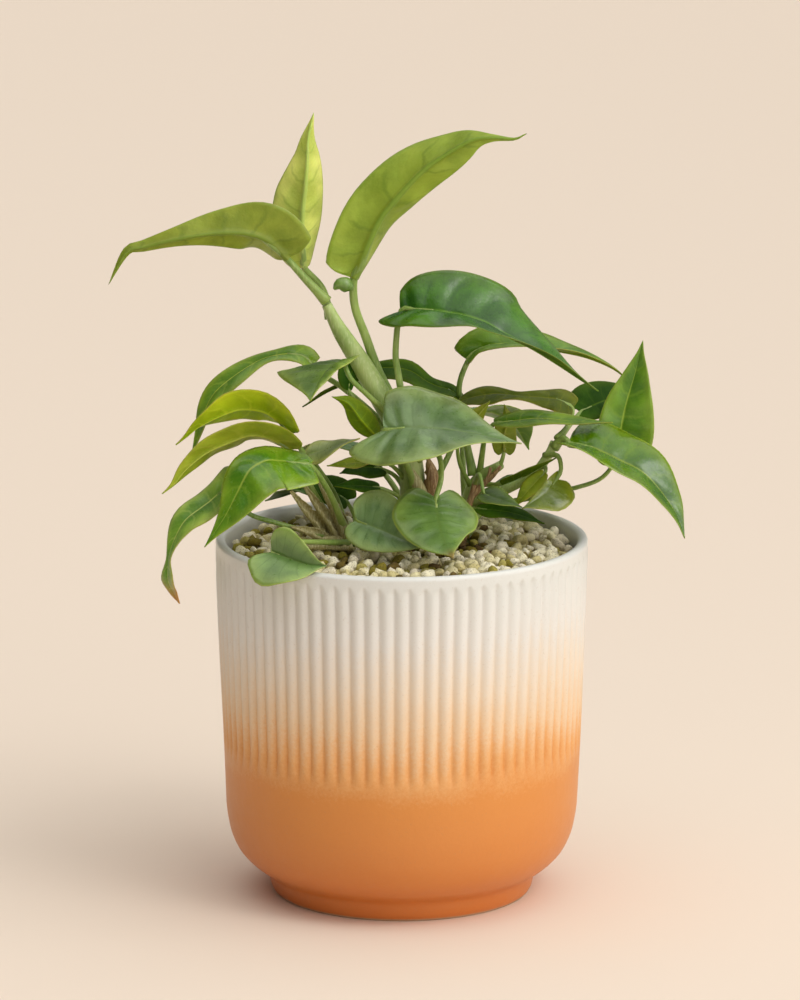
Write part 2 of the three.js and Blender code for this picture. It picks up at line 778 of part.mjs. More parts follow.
    colour: 'olive',
    rib: [[46, -3, 138.5], [41, -5, 133.5], [36, -7, 128]],
    up: [[-0.5, -0.7, 0.4], [-0.5, -0.7, 0.4]],
    wide: [3.6, 3.6],
    fold: [10, 10],
    stalk: [[43, 3, 137], [46, 0.5, 140]],
    thick: 0.7,
    shapes: ['lance', 'lance'],
  },
  {
    name: 'leaf_tip_inner_right',
    colour: 'olive',
    rib: [[20, 5, 150], [24, 4, 155.4], [28.4, 3, 160.8]],
    up: [[-0.2, 0.9, 0.2], [-0.2, 0.9, 0.2]],
    wide: [3, 3],
    fold: [12, 12],
    stalk: [[22.5, 14, 130], [19, 9, 138], [18, 5, 145]],
    thick: 0.7,
    shapes: ['lance', 'lance'],
  },
  {
    name: 'leaf_back_left',
    colour: 'green',
    rib: [[-12, 26, 139], [-20, 33, 140], [-30, 41, 134], [-36, 47, 125]],
    up: [[-0.3, 0.45, 0.85], [-0.5, 0.6, 0.6]],
    wide: [12, 12],
    fold: [10, 10],
    curl: [-15, -15],
    stalk: [[3, 6, 118], [-1, 12, 128], [-8, 21, 136]],
    thick: 1,
  },
  {
    name: 'leaf_back_middle',
    colour: 'deepGreen',
    rib: [[2, 32, 144], [0, 41, 144], [-3, 51, 137], [-4, 59, 127]],
    up: [[0, 0.5, 0.85], [0, 0.8, 0.6]],
    wide: [13, 13],
    fold: [10, 10],
    curl: [-15, -15],
    stalk: [[5, 7, 120], [6, 14, 131], [4, 25, 141]],
    thick: 1,
  },
  {
    name: 'leaf_back_right',
    colour: 'brightGreen',
    rib: [[22, 34, 150], [29, 40, 150], [37, 47, 144], [42, 53, 134]],
    up: [[0.3, 0.5, 0.8], [0.5, 0.6, 0.6]],
    wide: [12, 12],
    fold: [12, 12],
    curl: [-15, -15],
    stalk: [[21, 18, 121], [20, 24, 133], [20, 30, 144]],
    thick: 1,
  },
  {
    name: 'leaf_back_low_right',
    colour: 'green',
    rib: [[35, 28, 127], [42, 33, 128], [50, 39, 124], [56, 44, 119]],
    up: [[0.3, 0.3, 0.9], [0.4, 0.4, 0.8]],
    wide: [9, 9],
    fold: [10, 10],
    stalk: [[21, 17, 116], [26, 21, 120], [32, 25.5, 125]],
    thick: 0.9,
  },
  {
    name: 'leaf_back_low_left',
    colour: 'deepGreen',
    rib: [[-24, 24, 125], [-31, 31, 126], [-39, 38, 122], [-45, 43, 119]],
    up: [[-0.3, 0.3, 0.9], [-0.4, 0.4, 0.8]],
    wide: [10, 10],
    fold: [10, 10],
    stalk: [[-18, 2, 115], [-19, 11, 118], [-22, 19, 122.5]],
    thick: 0.9,
  },
].map((leaf) => ({ ...plainLeaf, ...leaf }));

// Shoots that stand in the soil, each a list of tubes grown together.
const shoots = [
  {
    name: 'shoot_left',
    tubes: [
      { path: [[-17, 1, 96], [-17.5, 1, 108], [-18, 0.5, 121]], radii: [3.6, 4.2, 2.6] },
      { path: [[-18, 0, 110], [-20, -1, 117], [-25, -2, 126]], radii: [3, 3, 1] },
      { path: [[-17, -1, 111], [-20, -5, 116], [-25, -9, 118]], radii: [2.5, 2, 0.9] },
    ],
  },
  {
    name: 'shoot_centre',
    tubes: [
      { path: [[4, 4, 96], [4, 4, 120], [3, 2, 139], [-1, 0, 152]], radii: [5, 5, 4.4, 3.7] },
      {
        path: [[1, 1, 145], [-2, 0, 154], [-7, 1, 163], [-13, 3, 173], [-20, 4, 184], [-24, 4, 192]],
        radii: [4, 3.6, 3.4, 3.2, 2.7, 1.7],
      },
    ],
  },
  {
    name: 'shoot_right',
    tubes: [
      { path: [[20, 16, 96], [20, 16, 114], [24, 14, 131], [32, 9, 138.5]], radii: [3.4, 3.2, 2.6, 1.4] },
      {
        path: [[23, 14, 126], [33, 9, 130], [42, 4, 136], [47, 2, 143], [49, 1.5, 147.5]],
        radii: [2.2, 1.7, 1.4, 1.6, 1.3],
      },
    ],
  },
];

function shootSolid(shoot, extra = 0) {
  const parts = shoot.tubes.map(({ path, radii }) => {
    const rings = path.length + 2;
    return tube({ path, radii, sides: shootSides, rings, extra });
  });
  return wasm.Manifold.union(parts);
}

// Pot outline from the edge of its flat underside up the foot and bowl, over the lip and in.
const bowlProfile = [
  [footRadius, 0],
  [footRadius + 0.8, 1.4],
  [footRadius + 1.4, 6.2],
  [44.9, 7.6],
  [48.8, 10.2],
  [52.8, 14.4],
  [55.3, 19.6],
  [57, 29],
];
const lipProfile = [
  [rimRadius, fluteTopZ + 1],
  [rimRadius, potHeight - 1.6],
  [rimRadius - 0.6, potHeight - 0.4],
  [rimRadius - 1.8, potHeight],
  [lipInnerRadius + 0.7, potHeight - 0.4],
  [lipInnerRadius, potHeight - 1.8],
];
const cavityProfile = [
  [cavityRadius, 100],
  [cavityRadius - 2.4, 30],
  [cavityRadius - 4.4, 18],
  [cavityFloorRadius, cavityFloorZ],
];

function wallRadius(z) {
  const low = bowlProfile.at(-1);
  return low[0] + ((rimRadius - low[0]) * (z - low[1])) / (fluteTopZ - low[1]);
}

function potSolid() {
  const points = [];
  const triangles = [];
  const ring = (radius, z, columns, dip) => {
    const start = points.length;
    for (let k = 0; k < columns; k += 1) {
      const turn = (2 * Math.PI * k) / columns;
      const r = radius - (dip ? dip(k) : 0);
      points.push(new THREE.Vector3(r * Math.cos(turn), r * Math.sin(turn), z));
    }
    return { start, columns };
  };
  // Closes the band between two rings. One may have a whole multiple of the other's columns.
  const join = (low, high) => {
    const finer = low.columns > high.columns ? low : high;
    const coarser = finer === low ? high : low;
    const ratio = finer.columns / coarser.columns;
    const at = (row, k) => row.start + (k % row.columns);
    const add = (a, b, c) => triangles.push(finer === high ? [a, b, c] : [a, c, b]);
    for (let k = 0; k < coarser.columns; k += 1) {
      const middle = Math.ceil(ratio / 2);
      for (let n = 0; n < ratio; n += 1) {
        const near = at(coarser, n < middle ? k : k + 1);
        add(near, at(finer, k * ratio + n + 1), at(finer, k * ratio + n));
      }
      add(at(coarser, k), at(coarser, k + 1), at(finer, k * ratio + middle));
    }
  };
  const groove = (k) => (k % 3 === 0 ? fluteDepth : 0);
  const fine = fluteCount * 3;
  const rings = [
    ...bowlProfile.map(([r, z]) => ring(r, z, fluteCount)),
    ring(wallRadius(fluteBottomZ), fluteBottomZ, fluteCount),
    ring(wallRadius(fluteBottomZ + fluteFade), fluteBottomZ + fluteFade, fine, groove),
    ring(wallRadius(fluteTopZ - 1.5), fluteTopZ - 1.5, fine, groove),
    ...lipProfile.map(([r, z]) => ring(r, z, fluteCount)),
    ...cavityProfile.map(([r, z]) => ring(r, z, fluteCount / 2)),
  ];
  for (let i = 1; i < rings.length; i += 1) {
    join(rings[i - 1], rings[i]);
  }
  const close = (row, z, facing) => {
    const middle = points.push(new THREE.Vector3(0, 0, z)) - 1;
    for (let k = 0; k < row.columns; k += 1) {
      const a = row.start + k;
      const b = row.start + ((k + 1) % row.columns);
      triangles.push(facing > 0 ? [middle, a, b] : [middle, b, a]);
    }
  };
  close(rings[0], 0, -1);
  close(rings.at(-1), cavityFloorZ, 1);
  return solid(points, triangles);
}

// A turned solid closed on its axis, from a profile of radius and height pairs.
function turned(profile, sides) {
  const shape = profile.map(([r, z]) => new THREE.Vector2(r, z));
  const lathe = new THREE.LatheGeometry(shape, sides);
  const position = lathe.getAttribute('position');
  const points = [];
  const rows = shape.length;
  const triangles = [];
  const firstAxis = points.push(new THREE.Vector3(0, 0, shape[0].y)) - 1;
  const lastAxis = points.push(new THREE.Vector3(0, 0, shape.at(-1).y)) - 1;
  const slot = (side, row) => {
    if (row === 0) {
      return firstAxis;
    }
    return row === rows - 1 ? lastAxis : 2 + (side % sides) * (rows - 2) + row - 1;
  };
  for (let side = 0; side < sides; side += 1) {
    for (let row = 1; row < rows - 1; row += 1) {
      const at = side * rows + row;
      points.push(new THREE.Vector3(position.getX(at), -position.getZ(at), position.getY(at)));
    }
  }
  for (let side = 0; side < sides; side += 1) {
    for (let row = 0; row < rows - 1; row += 1) {
      const a = slot(side, row);
      const b = slot(side, row + 1);
      const c = slot(side + 1, row + 1);
      const d = slot(side + 1, row);
      if (a !== d) {
        triangles.push([a, d, c]);
      }
      if (b !== c) {
        triangles.push([a, c, b]);
      }
    }
  }
  const body = solid(points, triangles);
  return body.volume() > 0 ? body : solid(points, triangles.map(([a, b, c]) => [a, c, b]));
}

// Pumice layer: a slab that fills the pot's mouth. Its top is a lattice of low points in which
// each third point stands up as the blunt crown of a grain.
function gravelSolid() {
  const reach = potInside - gap;
  const step = grainPitch / Math.sqrt(3);
  const rise = (step * Math.sqrt(3)) / 2;
  const rows = 2 * Math.ceil(reach / rise) + 3;
  const columns = 2 * Math.ceil(reach / step) + 4;
  const draw = seeded(11);
  const points = [];
  const triangles = [];
  for (let row = 0; row < rows; row += 1) {
    for (let column = 0; column < columns; column += 1) {
      const crown = (column - Math.floor(row / 2) - row) % 3 === 0;
      const shift = step * (crown ? 0.5 : 0.3);
      const x = step * (column + 0.5 * (row % 2) - columns / 2) + shift * (draw() - 0.5);
      const y = rise * (row - (rows - 1) / 2) + shift * (draw() - 0.5);
      const height = crown ? grainHeight * (0.65 + 0.7 * draw()) : -0.5 * draw();
      points.push(new THREE.Vector3(x, y, gravelTopZ + height));
    }
  }
  const at = (row, column) => row * columns + column;
  for (let row = 0; row < rows - 1; row += 1) {
    for (let column = 0; column < columns - 1; column += 1) {
      const a = at(row, column);
      const b = at(row, column + 1);
      const c = at(row + 1, column);
      const d = at(row + 1, column + 1);
      if (row % 2 === 0) {
        triangles.push([a, b, c], [b, d, c]);
      } else {
        triangles.push([a, b, d], [a, d, c]);
      }
    }
  }
  const border = [];
  for (let column = 0; column < columns - 1; column += 1) {
    border.push(at(0, column));
  }
  for (let row = 0; row < rows - 1; row += 1) {
    border.push(at(row, columns - 1));
  }
  for (let column = columns - 1; column > 0; column -= 1) {
    border.push(at(rows - 1, column));
  }
  for (let row = rows - 1; row > 0; row -= 1) {
    border.push(at(row, 0));
  }
  const below = points.length;
  border.forEach((k) => points.push(points[k].clone().setZ(soilTopZ)));
  const middle = points.push(new THREE.Vector3(0, 0, soilTopZ)) - 1;
  border.forEach((k, n) => {
    const next = (n + 1) % border.length;
    triangles.push([k, below + n, below + next], [k, below + next, border[next]]);
    triangles.push([below + n, middle, below + next]);
  });
  const low = soilTopZ + gap;
  const high = gravelTopZ + 2 * grainHeight;
  const mouth = turned([[0, low], [reach, low], [reach, high], [0, high]], gravelSides);
  return solid(points, triangles).intersect(mouth);
}

function soilSolid() {
  const floorZ = cavityFloorZ + gap;
  const wall = cavityProfile.slice(1).reverse().map(([r, z]) => [r - soilInset, Math.max(z, floorZ)]);
  return turned([[0, floorZ], ...wall, [potInside - gap, soilTopZ], [0, soilTopZ]], soilSides);
}

function largestPiece(body) {
  const pieces = body.decompose();
  return pieces.reduce((best, piece) => (piece.volume() > best.volume() ? piece : best));
}

const group = new THREE.Group();
group.name = 'potted_mini_monstera';

function addNode(name, body, colour, roughness) {
  const { vertProperties, triVerts } = body.getMesh();
  const geometry = new THREE.BufferGeometry();
  geometry.setAttribute('position', new THREE.BufferAttribute(new Float32Array(vertProperties), 3));
  geometry.setIndex(new THREE.BufferAttribute(new Uint32Array(triVerts), 1));
  geometry.computeVertexNormals();
  const material = new THREE.MeshStandardMaterial({
    color: colour,
    roughness,
    metalness: 0,
    flatShading: true,
  });
  const mesh = new THREE.Mesh(geometry, material);
  mesh.name = name;
  group.add(mesh);
}

const shootBodies = shoots.map((shoot) => shootSolid(shoot));
const shootRooms = wasm.Manifold.union(shoots.map((shoot) => shootSolid(shoot, gap)));

addNode('pot', potSolid(), colours.glaze, 0.45);
addNode('potting_mix', largestPiece(soilSolid().subtract(shootRooms)), colours.soil, 0.95);
addNode('pumice_topdressing', largestPiece(gravelSolid().subtract(shootRooms)), colours.pumice, 0.9);
shoots.forEach((shoot, k) => addNode(shoot.name, shootBodies[k], colours.shoot, 0.5));

// Each stalk ends against its shoot, and is cut clear of the stalks that stand before it.
let taken = shootRooms;
for (const leaf of leaves) {
  const body = wasm.Manifold.union([blade(leaf), stalk(leaf)]);
  const clear = largestPiece(body.subtract(taken).simplify(finish));
  addNode(leaf.name, clear, colours[leaf.colour], 0.4);
  taken = wasm.Manifold.union([taken, stalk(leaf, gap)]);
}

export default group;
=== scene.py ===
import math

import bpy
import numpy as np
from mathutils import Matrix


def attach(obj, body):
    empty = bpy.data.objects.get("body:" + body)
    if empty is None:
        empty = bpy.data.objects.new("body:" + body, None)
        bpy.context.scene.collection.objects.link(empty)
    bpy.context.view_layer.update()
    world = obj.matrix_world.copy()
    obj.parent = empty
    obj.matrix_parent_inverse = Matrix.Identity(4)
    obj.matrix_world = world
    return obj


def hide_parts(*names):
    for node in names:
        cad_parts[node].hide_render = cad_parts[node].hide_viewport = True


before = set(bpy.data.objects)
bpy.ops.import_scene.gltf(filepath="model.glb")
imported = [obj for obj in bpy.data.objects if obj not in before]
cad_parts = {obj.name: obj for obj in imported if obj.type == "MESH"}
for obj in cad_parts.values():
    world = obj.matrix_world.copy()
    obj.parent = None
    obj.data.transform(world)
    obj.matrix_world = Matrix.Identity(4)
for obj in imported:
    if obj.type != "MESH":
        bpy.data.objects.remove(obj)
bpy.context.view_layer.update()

# Lengths are in millimetres up to the point where a mesh is made, as in the CAD source.
MM = 0.001


# Materials

class Tree:
    """A material whose nodes are made by short calls. Every value is a number, a colour or a socket."""

    def __init__(self, name):
        self.material = bpy.data.materials.new(name)
        self.material.use_nodes = True
        self.nodes = self.material.node_tree.nodes
        self.links = self.material.node_tree.links
        self.shader = self.nodes["Principled BSDF"]

    def feed(self, socket, value):
        if isinstance(value, bpy.types.NodeSocket):
            self.links.new(value, socket)
        elif isinstance(value, tuple) and len(value) == 3 and socket.type == "RGBA":
            socket.default_value = (*value, 1)
        else:
            socket.default_value = value

    def set(self, **values):
        for name, value in values.items():
            self.feed(self.shader.inputs[name.replace("_", " ")], value)

    def math(self, operation, *values):
        node = self.nodes.new("ShaderNodeMath")
        node.operation = operation
        for socket, value in zip(node.inputs, values):
            self.feed(socket, value)
        return node.outputs[0]

    def times(self, first, second):
        return self.math("MULTIPLY", first, second)

    def plus(self, first, second):
        return self.math("ADD", first, second)

    def minus(self, first, second):
        return self.math("SUBTRACT", first, second)

    def rest(self, share):
        """What is left of 1."""
        return self.math("SUBTRACT", 1.0, share)

    def mix(self, share, first, second, blend="MIX"):
        node = self.nodes.new("ShaderNodeMix")
        node.data_type = "RGBA"
        node.blend_type = blend
        self.feed(node.inputs[0], share)
        self.feed(node.inputs[6], first)
        self.feed(node.inputs[7], second)
        return node.outputs[2]

    def step(self, value, low, high):
        """0 below low and 1 above high, with a smooth change between them."""
        node = self.nodes.new("ShaderNodeMapRange")
        node.interpolation_type = "SMOOTHSTEP"
        self.feed(node.inputs["Value"], value)
        self.feed(node.inputs["From Min"], low)
        self.feed(node.inputs["From Max"], high)
        return node.outputs[0]

    def place(self, stretch=(1, 1, 1)):
        """Object coordinates in millimetres, stretched along the axes."""
        coordinates = self.nodes.new("ShaderNodeTexCoord").outputs["Object"]
        node = self.nodes.new("ShaderNodeMapping")
        self.feed(node.inputs["Vector"], coordinates)
        node.inputs["Scale"].default_value = tuple(s / MM for s in stretch)
        return node.outputs[0]

    def split(self, vector):
        """The three parts of a vector."""
        node = self.nodes.new("ShaderNodeSeparateXYZ")
        self.feed(node.inputs[0], vector)
        return node.outputs[:3]

    def noise(self, place, scale, detail=3.0, roughness=0.55, distortion=0.0):
        node = self.nodes.new("ShaderNodeTexNoise")
        self.feed(node.inputs["Vector"], place)
        self.feed(node.inputs["Scale"], scale)
        self.feed(node.inputs["Detail"], detail)
        self.feed(node.inputs["Roughness"], roughness)
        self.feed(node.inputs["Distortion"], distortion)
        return node.outputs["Fac"]

    def cells(self, place, scale):
        node = self.nodes.new("ShaderNodeTexVoronoi")
        self.feed(node.inputs["Vector"], place)
        self.feed(node.inputs["Scale"], scale)
        return node.outputs["Distance"]

    def ramp(self, value, stops):
        node = self.nodes.new("ShaderNodeValToRGB")
        ramp = node.color_ramp
        while len(ramp.elements) < len(stops):
            ramp.elements.new(0.5)
        for element, (position, colour) in zip(ramp.elements, stops):
            element.position = position
            element.color = (*colour, 1)
        self.feed(node.inputs["Fac"], value)
        return node.outputs["Color"]

    def attribute(self, name):
        node = self.nodes.new("ShaderNodeAttribute")
        node.attribute_name = name
        return node

    def bump(self, height, depth, strength=1.0, normal=None):
        """Relief of a height of 0 to 1 that stands for depth in millimetres."""
        node = self.nodes.new("ShaderNodeBump")
        self.feed(node.inputs["Strength"], strength)
        self.feed(node.inputs["Distance"], depth * MM)
        self.feed(node.inputs["Height"], height)
        if normal is not None:
            self.feed(node.inputs["Normal"], normal)
        return node.outputs["Normal"]


def srgb(red, green, blue):
    """Linear colour from 0-255 display values."""
    return tuple((v / 255 / 12.92) if v < 10.3 else ((v / 255 + 0.055) / 1.055) ** 2.4
                 for v in (red, green, blue))


VEINS_A_STATION = 1.15
VEIN_BOW = 0.55
STATIONS = 7


def leaf_grid(tree):
    """Shares along and across a blade, and how near a point is to a vein, the midrib and the edge."""
    grid = tree.nodes.new("ShaderNodeUVMap")
    grid.uv_map = "blade"
    along, across, _ = tree.split(grid.outputs[0])
    out = tree.times(tree.math("ABSOLUTE", tree.minus(across, 0.5)), 2.0)
    bow = tree.times(tree.times(out, out), VEIN_BOW)
    station = tree.minus(tree.times(along, STATIONS), bow)
    wander = tree.times(tree.minus(tree.noise(tree.place(), 0.25), 0.5), 0.35)
    line = tree.times(tree.plus(station, wander), VEINS_A_STATION)
    off_vein = tree.math("PINGPONG", line, 0.5)
    fade = tree.rest(tree.step(out, 0.55, 0.95))
    vein = tree.times(tree.rest(tree.step(off_vein, 0.0, 0.11)), fade)
    thin_line = tree.math("PINGPONG", tree.times(line, 6.0), 0.5)
    thin = tree.rest(tree.step(thin_line, 0.0, 0.3))
    rib = tree.rest(tree.step(out, 0.015, 0.06))
    edge = tree.step(out, 0.94, 1.0)
    return along, out, vein, thin, rib, edge


DRY_TIP = (196, 128, 52)


def leaf_material(name, dark, light, vein, rib, edge, rough, glow, coat=0.0, vein_share=0.4,
                  specular=0.35):
    """A blade's face. The first five values are colours, and glow is the share of light let through."""
    dark, light, vein_colour, rib_colour, edge_colour = (srgb(*c) for c in (dark, light, vein, rib, edge))
    tree = Tree(name)
    along, out, vein, thin, rib, edge = leaf_grid(tree)
    place = tree.place()
    patches = tree.noise(place, 0.09, detail=2.0)
    colour = tree.mix(tree.step(patches, 0.3, 0.7), dark, light)
    speckle = tree.noise(place, 1.6, detail=4.0, roughness=0.7)
    colour = tree.mix(tree.times(tree.step(speckle, 0.35, 0.75), 0.28), colour, light)
    # Blotches of a darker tone lie between the veins.
    between = tree.times(tree.step(tree.noise(place, 0.32, detail=2.0), 0.5, 0.72), 0.2)
    colour = tree.mix(between, colour, dark)
    # Painted shade darkens the blade along the midrib, where it folds; towards its edge it turns lighter,
    # partly its own paler margin and partly painted light.
    inner = tree.rest(tree.step(out, 0.0, 0.7))
    colour = tree.mix(tree.times(inner, 0.5), colour, dark)
    colour = tree.mix(tree.times(tree.step(out, 0.5, 1.0), 0.2), colour, edge_colour)
    colour = tree.mix(tree.times(thin, 0.07), colour, vein_colour)
    colour = tree.mix(tree.times(vein, vein_share), colour, vein_colour)
    colour = tree.mix(tree.times(rib, 0.75), colour, rib_colour)
    # Each leaf's tint is partly its own tone and partly painted light and shade: it makes lit leaves brighter
    # and shaded leaves darker.
    colour = tree.mix(1.0, colour, tree.attribute("tint").outputs["Color"], "MULTIPLY")
    colour = tree.mix(tree.times(edge, 0.7), colour, edge_colour)
    tip = tree.attribute("tip").outputs["Fac"]
    toward_tip = tree.times(tree.step(along, 0.78, 0.98), tip)
    colour = tree.mix(toward_tip, colour, srgb(*DRY_TIP))
    wear = tree.noise(place, 0.5, detail=3.0)
    roughness = tree.plus(rough, tree.times(tree.minus(wear, 0.5), 0.3))
    grain = tree.noise(place, 2.4, detail=3.0, roughness=0.65)
    normal = tree.bump(grain, 0.05, 0.5)
    normal = tree.bump(tree.noise(place, 0.45, detail=2.0), 0.35, 0.6, normal)
    tree.set(Base_Color=colour, Roughness=roughness, Normal=normal)
    tree.set(Subsurface_Weight=glow, Subsurface_Radius=(0.6, 1.0, 0.25), Subsurface_Scale=0.0012)
    tree.set(Specular_IOR_Level=specular, Coat_Weight=coat, Coat_Roughness=0.2)
    return tree.material


# Upper face and underside of each kind of leaf.
LEAF_TONES = {
    "pale": (
        dict(dark=(112, 146, 40), light=(150, 178, 66), vein=(92, 128, 32), rib=(120, 150, 60),
             edge=(190, 200, 120), rough=0.42, glow=0.35),
        dict(dark=(128, 150, 46), light=(166, 184, 78), vein=(100, 126, 34), rib=(126, 156, 62),
             edge=(150, 160, 80), rough=0.5, glow=0.35),
    ),
    "deep": (
        dict(dark=(28, 70, 10), light=(72, 120, 30), vein=(30, 74, 12), rib=(98, 136, 52),
             edge=(112, 130, 46), rough=0.3, glow=0.12, coat=0.4, vein_share=0.45),
        dict(dark=(60, 90, 14), light=(92, 120, 28), vein=(112, 136, 44), rib=(132, 152, 62),
             edge=(120, 130, 50), rough=0.55, glow=0.2),
    ),
    "shaded": (
        dict(dark=(30, 64, 4), light=(60, 98, 10), vein=(76, 108, 20), rib=(88, 118, 28),
             edge=(104, 120, 30), rough=0.6, glow=0.1, vein_share=0.2, specular=0.1),
        dict(dark=(52, 78, 6), light=(80, 104, 14), vein=(96, 116, 24), rib=(108, 126, 34),
             edge=(110, 120, 34), rough=0.6, glow=0.1, specular=0.1),
    ),
    "green": (
        dict(dark=(50, 98, 14), light=(100, 146, 36), vein=(120, 158, 54), rib=(136, 168, 64),
             edge=(150, 160, 70), rough=0.34, glow=0.2, coat=0.2, vein_share=0.3),
        dict(dark=(88, 120, 28), light=(126, 150, 48), vein=(142, 162, 62), rib=(154, 172, 76),
             edge=(150, 152, 70), rough=0.5, glow=0.25),
    ),
    "bright": (
        dict(dark=(50, 110, 6), light=(104, 160, 24), vein=(118, 166, 40), rib=(136, 176, 52),
             edge=(160, 180, 60), rough=0.24, glow=0.2, coat=0.5, vein_share=0.3),
        dict(dark=(88, 130, 24), light=(126, 160, 44), vein=(142, 172, 62), rib=(154, 182, 76),
             edge=(150, 170, 66), rough=0.45, glow=0.25),
    ),
    "grey": (
        dict(dark=(62, 94, 44), light=(108, 142, 80), vein=(62, 94, 38), rib=(86, 116, 56),
             edge=(168, 186, 84), rough=0.32, glow=0.12, coat=0.35, specular=0.5),
        dict(dark=(104, 126, 62), light=(136, 154, 86), vein=(150, 164, 96), rib=(160, 172, 104),
             edge=(150, 160, 80), rough=0.5, glow=0.2),
    ),
    "olive": (
        dict(dark=(98, 120, 12), light=(146, 160, 34), vein=(158, 168, 54), rib=(166, 174, 68),
             edge=(166, 150, 66), rough=0.45, glow=0.35, specular=0.25),
        dict(dark=(116, 130, 22), light=(154, 162, 50), vein=(164, 166, 70), rib=(170, 174, 84),
             edge=(160, 146, 70), rough=0.5, glow=0.35, specular=0.25),
    ),
}
leaf_materials = {
    tone: [leaf_material(f"leaf_{tone}_{face}", **values) for face, values in zip(("upper", "under"), faces)]
    for tone, faces in LEAF_TONES.items()
}


def stem_material(name, low, high, streak, brown_below=0.0):
    """Fleshy green stem with fine lengthwise streaks, brown near the soil."""
    tree = Tree(name)
    place = tree.place()
    patches = tree.noise(place, 0.06, detail=2.0)
    colour = tree.mix(tree.step(patches, 0.3, 0.7), low, high)
    streaks = tree.noise(tree.place((1, 1, 0.12)), 1.6, detail=3.0, roughness=0.6)
    colour = tree.mix(tree.times(tree.step(streaks, 0.45, 0.7), 0.5), colour, streak)
    if brown_below:
        _, _, height = tree.split(place)
        wobble = tree.times(tree.noise(place, 0.3), 10.0)
        level = tree.plus(height, wobble)
        share = tree.rest(tree.step(level, brown_below, brown_below + 8.0))
        colour = tree.mix(tree.times(share, 0.6), colour, srgb(122, 96, 58))
    normal = tree.bump(streaks, 0.12, 0.6)
    tree.set(Base_Color=colour, Roughness=0.42, Normal=normal)
    tree.set(Subsurface_Weight=0.2, Subsurface_Radius=(0.7, 1.0, 0.3), Subsurface_Scale=0.0015)
    return tree.material


stalk_material = stem_material("stalk_green", srgb(110, 140, 54), srgb(150, 172, 86), srgb(172, 188, 112))
shoot_material = stem_material("shoot_green", srgb(132, 160, 76), srgb(176, 194, 118), srgb(202, 212, 154),
                               brown_below=112.0)


def sheath_material(name, pale, dark):
    """Dry, papery leaf sheath with long fibres."""
    tree = Tree(name)
    fibres = tree.noise(tree.place((1.6, 1.6, 0.18)), 1.4, detail=4.0, roughness=0.65)
    colour = tree.mix(tree.step(fibres, 0.35, 0.7), dark, pale)
    spots = tree.noise(tree.place(), 0.7, detail=3.0)
    colour = tree.mix(tree.times(tree.step(spots, 0.55, 0.75), 0.45), colour, dark)
    tree.set(Base_Color=colour, Roughness=0.62, Normal=tree.bump(fibres, 0.15, 0.7))
    tree.set(Subsurface_Weight=0.2, Subsurface_Radius=(1.0, 0.8, 0.5), Subsurface_Scale=0.001)
    return tree.material


brown_sheath = sheath_material("sheath_brown", srgb(188, 158, 112), srgb(122, 88, 52))
pale_sheath = sheath_material("sheath_pale", srgb(208, 202, 152), srgb(160, 148, 96))


GLAZE_SCALE = 120.0
GROOVE_RISE = 7.0
FOOT_RING = (0.5, 1.1)
LIP_START = (112.5, 115.0)
# Share of GLAZE_SCALE in height, and the glaze's colour there.
GLAZE_STOPS = [
    (0.00, srgb(206, 116, 44)),
    (0.19, srgb(212, 131, 60)),
    (0.36, srgb(218, 140, 63)),
    (0.44, srgb(229, 168, 104)),
    (0.52, srgb(232, 197, 156)),
    (0.63, srgb(231, 213, 190)),
    (0.77, srgb(226, 222, 215)),
    (0.91, srgb(221, 221, 215)),
]


def glaze_material():
    """Satin reactive glaze: warm white that fades through sand into burnt orange, finely speckled."""
    tree = Tree("pot_glaze_ombre")
    place = tree.place()
    _, _, height = tree.split(place)
    drift = tree.times(tree.minus(tree.noise(place, 0.03, detail=2.0), 0.5), 16.0)
    spray = tree.times(tree.minus(tree.noise(place, 0.9, 4.0, 0.75), 0.5), 13.0)
    # The coloured glaze has run higher in the grooves.
    groove = tree.times(tree.attribute("groove").outputs["Fac"], -GROOVE_RISE)
    shift = tree.plus(tree.plus(drift, spray), groove)
    level = tree.math("DIVIDE", tree.plus(height, shift), GLAZE_SCALE)
    colour = tree.ramp(level, GLAZE_STOPS)
    fleck = tree.step(tree.noise(place, 1.3, detail=2.0), 0.62, 0.74)
    colour = tree.mix(tree.times(fleck, 0.16), colour, srgb(170, 132, 96))
    foot = tree.rest(tree.step(height, *FOOT_RING))
    colour = tree.mix(foot, colour, srgb(198, 158, 120))
    mottling = tree.noise(place, 0.25, detail=4.0)
    lip = tree.step(height, *LIP_START)
    rough = tree.plus(0.38, tree.times(mottling, 0.16))
    rough = tree.minus(rough, tree.times(lip, 0.14))
    normal = tree.bump(tree.noise(place, 0.35, detail=3.0), 0.25, 0.35)
    normal = tree.bump(tree.noise(place, 3.0, detail=2.0), 0.04, 0.4, normal)
    tree.set(Base_Color=colour, Roughness=rough, Normal=normal)
    tree.set(Coat_Weight=0.12, Coat_Roughness=0.25)
    return tree.material


